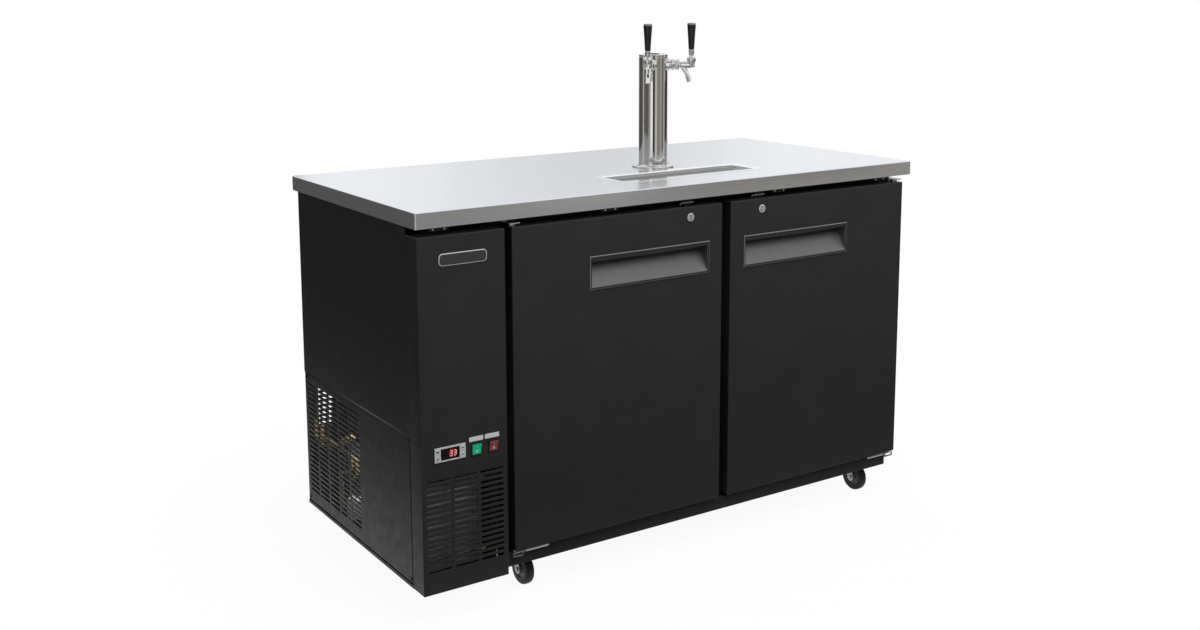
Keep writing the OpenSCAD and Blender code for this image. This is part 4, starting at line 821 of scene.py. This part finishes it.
def build_controls():
    dress("controller_case", CASE, 0.6)
    dress("display_window", LENS, 0.3)
    dress("switch_housings", SWITCH, 0.7)
    lo, _, middle = box("display_window")
    display = front_plane(middle.x, lo.y, middle.z)
    aside, apart = 6.5 * MM, 4.9 * MM
    bm = bmesh.new()
    for step in (-1, 1):
        add_three(bm, aside + step * apart, 6 * MM, 11.4 * MM, 1.35 * MM)
    lean = Matrix.Identity(4)
    lean[0][1] = 0.1
    bm.transform(display @ lean)
    solid("display_digits", bm, DIGIT, "cabinet", "display")
    plate("digit_glow", display, GLOW, "display",
          w=21 * MM, h=17 * MM, corner=7 * MM, base=-0.2 * MM, top=0.05 * MM, edge=0.02 * MM, cx=aside)
    mark_scale, mark_base, mark_top = 1.6 * MM, -0.3 * MM, 0.08 * MM
    marks = {
        "set_key": [(-1.8, 1.2), (1.8, 1.2), (1.8, -1.2), (-1.8, -1.2)],
        "up_key": [(-1.8, -1.2), (1.8, -1.2), (0, 1.6)],
        "defrost_key": [(0, 1.9), (-1.6, 0), (0, -1.9), (1.6, 0)],
        "down_key": [(0, -1.6), (1.8, 1.2), (-1.8, 1.2)],
    }
    for name, outline in marks.items():
        dress(name, KEY, 0.6)
        lo, _, middle = box(name)
        bm = bmesh.new()
        outline = [(mark_scale * x, mark_scale * y) for x, y in outline]
        add_loft(bm, [[(x, y, z) for x, y in outline] for z in (mark_base, mark_top)])
        bm.transform(front_plane(middle.x, lo.y, middle.z))
        solid(f"{name}_mark", bm, MARK_AND_KEYHOLE_SHADE, name, "switch_plastic")
    for name, material in (("power_rocker", GREEN), ("light_rocker", RED)):
        dress(name, material, 0.6)
        build_rocker_marks(name)


def build_rocker_marks(name):
    """A line on the upper half and a ring on the lower half, on the tilted faces of the rocker."""
    face_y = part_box("front_service_panel")[0].y
    pivot = Matrix.Translation((box(name)[2].x, face_y + 2 * MM, box("switch_housings")[2].z))
    tilt = Matrix.Rotation(math.radians(10), 4, "X")
    lean, half, reach = math.radians(7.2), 4.7 * MM, 3.4 * MM
    line = bmesh.new()
    add_pad(line, 1.1 * MM, 5 * MM, corner=0.3 * MM, base=-0.3 * MM, top=0.1 * MM, edge=0.05 * MM)
    loop = bmesh.new()
    section = [(1.5, -0.3), (2.4, -0.3), (2.4, 0.1), (1.5, 0.1)]
    turned(loop, mm(section), Matrix.Identity(4), 24, hollow=True)
    bm = bmesh.new()
    for mark, sign in ((line, 1), (loop, -1)):
        on_face = Matrix.Translation((0, -reach, sign * half)) @ Matrix.Rotation(sign * lean, 4, "X")
        mark.transform(pivot @ tilt @ on_face @ front_plane(0, 0, 0))
        join(bm, mark)
    solid(f"{name}_marks", bm, WHITE_MARK, name, "key_plastic")


# Hinges, strikes, clips and screws

def build_hinges(side):
    """A door's hinge plates, bosses, pins and closer spring, and the strike in front of its lock's cam."""
    lo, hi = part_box(f"{side}_door_skin")
    under, over, back = 115 * MM, 889 * MM, -273 * MM
    sign = 1 if side == "left" else -1
    edge = lo.x if side == "left" else hi.x
    axis = Matrix.Translation((edge + sign * 12 * MM, lo.y + 22 * MM, 0))

    def span(a, b):
        return sorted((edge + sign * a * MM, edge + sign * b * MM))

    bm = bmesh.new()
    wing, reach, sheet, soft = span(-2, 26), span(-2, 58), 3 * MM, 0.8 * MM
    front, top = lo.y + 8 * MM, hi.z + 5 * MM
    add_box(bm, (reach[0], front, under), (reach[1], back, under + sheet), soft)
    add_box(bm, (wing[0], front, top), (wing[1], back, top + sheet), soft)
    add_box(bm, (wing[0], back - sheet, top), (wing[1], back, over), soft)
    boss_r, boss_end, pin_r, round_off = 9 * MM, 8.4 * MM, 5 * MM, 0.6 * MM
    for low, high in ((under + 2 * MM, lo.z - 0.3 * MM), (hi.z + 0.3 * MM, top + MM)):
        profile = [(0, low), (boss_end, low), (boss_r, low + round_off)]
        profile += [(boss_r, high - round_off), (boss_end, high), (0, high)]
        turned(bm, profile, axis, 40)
    for low, high in ((lo.z - 2 * MM, lo.z + 24 * MM), (hi.z - 24 * MM, hi.z + 2 * MM)):
        turned(bm, [(0, low), (pin_r, low), (pin_r, high), (0, high)], axis, 32)
    foot = under - 9 * MM
    add_box(bm, (wing[0], front, foot), (wing[1], front + sheet, under - 5 * MM), 0.6 * MM)
    for x in (wing[0], wing[1] - sheet):
        add_box(bm, (x, front, foot), (x + sheet, front + sheet, under + MM), 0.6 * MM)
    solid(f"{side}_hinge_plates", bm, ZINC, "cabinet", "zinc_steel", "door_brackets")

    spring, turns, pitch = span(30, 94), 12, 4.6 * MM
    rod, root, crest, length = 2.2 * MM, 2.6 * MM, 3.4 * MM, spring[1] - spring[0]
    profile = [(0, 0), (rod, 0), (rod, 4 * MM)]
    for i in range(turns):
        start = 5 * MM + i * pitch
        profile += [(root, start), (crest, start + 0.3 * pitch)]
        profile += [(crest, start + 0.5 * pitch), (root, start + 0.8 * pitch)]
    profile += [(rod, length), (0, length)]
    place = Matrix.Translation((spring[0], front + 1.5 * MM, under + 1.5 * MM)) @ OUTWARD
    lathe(f"{side}_closer_spring", profile, place, 20, SCREW, "cabinet", "zinc_steel")

    x, half = box(f"{side}_lock_barrel")[2].x, 14 * MM
    y = lo.y + 10 * MM
    bm = bmesh.new()
    add_box(bm, (x - half, y, hi.z + 3 * MM), (x + half, y + sheet, over), 0.7 * MM)
    add_box(bm, (x - half, y, over - sheet), (x + half, y + 28 * MM, over), 0.7 * MM)
    solid(f"{side}_strike", bm, RAIL, "cabinet", "rail_paint", "door_brackets")
    bm = bmesh.new()
    y, z = lo.y + 8.8 * MM, hi.z + 9 * MM
    left, right = x - 22 * MM, x + 16 * MM
    hook = [(left - 4 * MM, y, z - 4 * MM), (left, y, z), (right, y, z), (right, y + 4 * MM, z)]
    add_tube(bm, rounded(hook, 2 * MM), 1.1 * MM)
    solid(f"{side}_strike_hook", bm, ZINC, "cabinet", "zinc_steel")


def build_keyhole(side):
    """A dark rim round the lock's plug, and a dark plate over the mouth of its key slot that is painted
    shade for the hole.
    """
    barrel_lo, _, middle = box(f"{side}_lock_barrel")
    front = min(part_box(f"{side}_lock_plug")[0].y, barrel_lo.y)
    place = front_plane(middle.x, front, middle.z)
    inner, outer, lip = 5.3 * MM, 6.7 * MM, 0.2 * MM
    bm = bmesh.new()
    turned(bm, [(inner, -lip), (outer, -lip), (outer, lip), (inner, lip)], place, 40, hollow=True)
    # painted shade: a thin dark plate on the plug's face stands for the dark inside of the key slot
    slot = bmesh.new()
    add_box(slot, (-1.5 * MM, -4.2 * MM, -lip), (1.5 * MM, 4.2 * MM, lip), 0.1 * MM, 1)
    slot.transform(place)
    join(bm, slot)
    solid(f"{side}_keyhole", bm, MARK_AND_KEYHOLE_SHADE, f"{side}_lock", "lock_chrome")


def add_screw(bm, place, r=4 * MM, t=1.6 * MM):
    """A pan head with a cross recess, drawn upwards."""
    head = [(0, -0.4 * MM), (r, -0.4 * MM), (r, 0.4 * t), (0.86 * r, 0.8 * t), (0.5 * r, t), (0, t)]
    turned(bm, head, place, 24)
    for turn in (0, 90):
        one = bmesh.new()
        add_box(one, (-0.55 * r, -0.1 * r, 0.9 * t), (0.55 * r, 0.1 * r, t + 0.1 * MM), 0.05 * MM, 1)
        one.transform(place @ Matrix.Rotation(math.radians(turn), 4, "Z"))
        join(bm, one)


def build_screws():
    """The screw heads of the casing's side and rear, and of the tower's flange."""
    side_lo, side_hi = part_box("side_service_panel")
    rear_lo, rear_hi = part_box("compartment_casing")
    tower_lo, tower_hi, middle = box("tower_column")
    edge, rear_right = 11 * MM, -517 * MM
    bm = bmesh.new()
    for y in (side_lo.y + edge, side_hi.y - edge):
        for z in (side_lo.z + edge, side_hi.z - edge):
            add_screw(bm, left_plane(side_lo.x, y, z))
    for x in (rear_lo.x + edge, rear_right - edge):
        for z in (rear_lo.z + 4 * edge, rear_hi.z - edge):
            add_screw(bm, plane((x, rear_hi.y, z), (-1, 0, 0), (0, 0, 1)))
    solid("casing_screw_heads", bm, BLACK, "cabinet", "black_paint", "casing_screws")
    bm = bmesh.new()
    ring_r = (COLUMN_R + (tower_hi.x - middle.x)) / 2
    for x, y in circle(ring_r, middle.x, middle.y, 4):
        add_screw(bm, top_plane(x, y, tower_lo.z + 5 * MM))
    solid("flange_screw_heads", bm, SCREW, "cabinet", "screw_steel", "casing_screws")


def build_clips():
    """Black clips under the counter's front edge, each with bright screws."""
    lo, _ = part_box("countertop")
    y, t, drop, half, apart = lo.y + 16 * MM, 2 * MM, 11 * MM, 24 * MM, 14 * MM
    for i, x in enumerate((-672 * MM, -230 * MM, 284 * MM, 636 * MM)):
        bm = bmesh.new()
        add_box(bm, (x - half, y, lo.z - drop), (x + half, y + t, lo.z), 0.5 * MM)
        add_box(bm, (x - half, y, lo.z - t), (x + half, y + 16 * MM, lo.z), 0.5 * MM)
        solid(f"counter_clip_{i}", bm, RAIL, "cabinet", "rail_paint")
        bm = bmesh.new()
        for at in (x - apart, x + apart):
            add_screw(bm, front_plane(at, y, lo.z - 6.5 * MM), 2.6 * MM, 1.2 * MM)
        solid(f"counter_clip_screws_{i}", bm, SCREW, "cabinet", "screw_steel")


# Casters and the nodes that keep their CAD shape

def build_wheel(corner):
    wheel = f"{corner}_wheel"
    lo, hi, middle = box(wheel)
    place = Matrix.Translation(middle) @ OUTWARD
    tyre_r = 37.5
    tyre = [(23, -10.6), (31, -11), (34.6, -10.2), (36.6, -8), (37.4, -4), (tyre_r, 0)]
    tyre += [(r, -h) for r, h in tyre[-2::-1]]
    scale = (hi.z - lo.z) / 2 / tyre_r
    tyre = [(r * scale, h * MM) for r, h in tyre]
    lathe(f"{corner}_tyre", tyre, place, 72, TYRE, wheel, "wheel_rubber", wheel, hollow=True)
    hub = [(5.06, -12), (9.6, -12), (10.4, -11.4), (11.2, -8.6), (19.6, -8.2), (21.4, -10.4), (23.2, -10.8)]
    hub += [(r, -h) for r, h in hub[::-1]]
    lathe(f"{corner}_hub", mm(hub), place, 48, HUB, wheel, "controller_plastic", wheel, hollow=True)
    dress(f"{corner}_fork", FORK, 0.7)


KEPT = {
    "cabinet_skin": (BLACK, 0.8), "compartment_casing": (BLACK, 0.5), "foam_insulation": (FOAM, 0.4),
    "inner_liner": (LINER, 0.3), "base_frame": (RAIL, 0.9), "beer_lines": (LINE, 0.4),
    "compressor": (COMPRESSOR_PAINTED_LIGHT, 1.0), "condenser_coil": (COIL, 0.4), "fan_shroud": (RAIL, 0.5),
    "refrigerant_tubes": (COPPER, 0.3), "evaporator_cover": (LINER, 0.5), "condenser_fan": (FAN, 0.4),
    "evaporator_fan": (FAN, 0.4), "caster_plates": (ZINC, 0.7),
}


# Stage, light and camera

def empty_tree(owner):
    """The cleared node tree of a material or world."""
    owner.use_nodes = True
    owner.node_tree.nodes.clear()
    return owner.node_tree


def emitter(name, colour):
    material = bpy.data.materials.new(name)
    tree = empty_tree(material)
    glow = add_node(tree, "Emission", Color=(*colour, 1))
    add_node(tree, "OutputMaterial", {"Surface": glow.outputs["Emission"]})
    material.cycles.emission_sampling = "NONE"
    return material


def flat(name, corners, material):
    """An object with one face."""
    mesh = bpy.data.meshes.new(name)
    mesh.from_pydata(corners, [], [list(range(len(corners)))])
    mesh.materials.append(material)
    return placed(name, mesh)


def card(name, corners, colour):
    """A card that only shows in glossy reflections."""
    obj = flat(name, corners, emitter(name, colour))
    obj.visible_camera = False
    obj.visible_diffuse = False
    obj.visible_transmission = False
    obj.visible_shadow = False


CAMERA_AT = Vector((-1.9390, -2.7933, 1.3816))


def build_camera():
    azimuth, elevation, roll = math.radians(-32.710), math.radians(8.809), math.radians(-0.345)
    away = math.cos(elevation)
    back = Vector((math.sin(azimuth) * away, -math.cos(azimuth) * away, math.sin(elevation)))
    camera = bpy.data.cameras.new("camera")
    camera.lens = 39.73
    camera.sensor_width = 36
    camera.shift_x = 0.0300
    camera.shift_y = -0.1000
    obj = placed("camera", camera)
    obj.location = CAMERA_AT
    obj.rotation_mode = "QUATERNION"
    obj.rotation_quaternion = (-back).to_track_quat("-Z", "Y") @ Quaternion((0, 0, 1), roll)
    bpy.context.scene.camera = obj


def calculate(tree, operation, first, second):
    node = add_node(tree, "Math", {0: first, 1: second})
    node.operation = operation
    return node.outputs["Value"]


def shown_ray(tree):
    """1 for camera, glossy and transmission rays."""
    rays = add_node(tree, "LightPath").outputs
    seen = calculate(tree, "MAXIMUM", rays["Is Camera Ray"], rays["Is Glossy Ray"])
    return calculate(tree, "MAXIMUM", seen, rays["Is Transmission Ray"])


def mix_to(tree, output, share, first, second):
    """Sends two shaders to a new output node, mixed by a share."""
    mix = add_node(tree, "MixShader", {"Fac": share, 1: first, 2: second})
    add_node(tree, output, {"Surface": mix.outputs["Shader"]})


def build_world():
    """White where it shows, and a dim light elsewhere."""
    world = bpy.data.worlds.new("studio")
    bpy.context.scene.world = world
    tree = empty_tree(world)
    light = add_node(tree, "Background", Color=(0.11, 0.11, 0.115, 1)).outputs["Background"]
    white = add_node(tree, "Background", Color=(1, 1, 1, 1)).outputs["Background"]
    mix_to(tree, "OutputWorld", shown_ray(tree), light, white)


def build_floor():
    """A floor that shows white, with a faint shade near the part."""
    material = bpy.data.materials.new("pale_floor")
    tree = empty_tree(material)
    shown = shown_ray(tree)
    shade = add_node(tree, "MapRange", {"Value": shown}, To_Min=0.25, To_Max=0.9)
    matt = add_node(tree, "BsdfDiffuse", {"Color": shade.outputs["Result"]})
    glow = add_node(tree, "Emission", Color=(1, 1, 1, 1))
    coords = add_node(tree, "TexCoord")
    far = add_node(tree, "VectorMath", {0: coords.outputs["Object"]})
    far.operation = "LENGTH"
    distance = {"Value": far.outputs["Value"]}
    fade = add_node(tree, "MapRange", distance, From_Min=0.5, From_Max=1.5, To_Min=0.94, To_Max=1.0)
    fade.interpolation_type = "SMOOTHSTEP"
    share = calculate(tree, "MULTIPLY", shown, fade.outputs["Result"])
    mix_to(tree, "OutputMaterial", share, matt.outputs["BSDF"], glow.outputs["Emission"])
    half = 30.0
    floor = flat("floor", level(-half, half, -half, half, 0), material)


def lamp(name, place, aim, size, power):
    light = bpy.data.lights.new(name, "AREA")
    light.shape = "SQUARE"
    light.size = size
    light.energy = power
    obj = placed(name, light)
    obj.location = place
    obj.rotation_mode = "QUATERNION"
    obj.rotation_quaternion = (Vector(aim) - Vector(place)).to_track_quat("-Z", "Y")
    obj.visible_glossy = False


def ring_card(name, centre, start, end, reach, colour, low=0.02, high=1.7):
    """A bent upright card round a centre, from one turn to another."""
    outline = [(centre.x + x, centre.y + y) for x, y in arc(0, 0, reach, start, end, 4)]
    for i, (a, b) in enumerate(zip(outline, outline[1:])):
        card(f"{name}_{i}", [(*a, low), (*b, low), (*b, high), (*a, high)], colour)


def build_cards():
    """Strips round the tower, brows above it, shades on the floor and a row behind for the counter."""
    centre = box("tower_column")[2]
    to_camera = math.degrees(math.atan2(CAMERA_AT.y - centre.y, CAMERA_AT.x - centre.x))
    warm, amber = Vector((1, 0.95, 0.90)), Vector((1, 0.91, 0.80))
    reach, floor_z = 3.6, 0.01
    strips = (
        (-150, -90, 0.09), (-90, -76, 0.45), (-76, -36, 0.12), (-36, -21, 0.35), (-4, 13, 0.05),
        (13, 30, 0.55), (30, 57, 0.25), (57, 68, 0.42), (68, 86, 0.16), (86, 100, 0.46), (100, 140, 0.05),
    )
    for i, (start, end, tone) in enumerate(strips):
        ring_card(f"tower_card_{i}", centre, to_camera + start, to_camera + end, reach, tone * warm)
    for i, (low, high) in enumerate(((3.1, 4.6), (6.2, 9.5))):
        ring_card(f"brow_card_{i}", centre, to_camera - 70, to_camera + 40, reach, 0.04 * warm, low, high)
    ring_card("edge_card", centre, to_camera + 72, to_camera + 97, 3.5, 0.34 * amber, 0.02, 0.5)
    card("front_floor_card_0", level(-1, 6, -1.7, -0.42, floor_z), 0.06 * amber)
    card("front_floor_card_1", level(-1, 6, -4, -1.7, floor_z), 0.30 * amber)
    card("left_floor_card", level(-4, -1, -0.4, 4, floor_z), 0.04 * warm)
    steps, start, width, y, low, high = 8, 2.2, 0.45, 6, 0.9, 3
    for i in range(steps):
        dip = 0.27 * math.sin(math.pi * (i + 0.5) / steps)
        x0, x1 = start + i * width, start + (i + 1) * width
        card(f"back_card_{i}", upright(x0, x1, low, high, y), grey(1 - dip))


build_camera()
build_counter()
for door_side in SIDES:
    build_door(door_side)
    build_hinges(door_side)
    build_keyhole(door_side)
build_bay()
build_tower()
for tap_side in SIDES:
    build_faucet(tap_side)
build_tray()
build_plates()
build_controls()
build_screws()
build_clips()
build_machine()
for wheel_corner in CORNERS:
    build_wheel(wheel_corner)
for kept_node, (kept_material, kept_bevel) in KEPT.items():
    dress(kept_node, kept_material, kept_bevel)
build_world()
build_floor()
build_cards()
lamp("key", (0.3, -3.4, 3.6), (-0.1, -0.2, 0.6), 2.2, 120)
lamp("bay", (-0.68, -0.10, 0.62), (-0.68, 0.14, 0.15), 0.06, 2)
lamp("back", (0.6, 3.4, 3.0), (0, 0.3, 0.5), 2.2, 60)
lamp("top", (0, -1.5, 4.4), (0, -0.2, 0.6), 2.6, 115)
bpy.context.scene.view_settings.view_transform = "Standard"
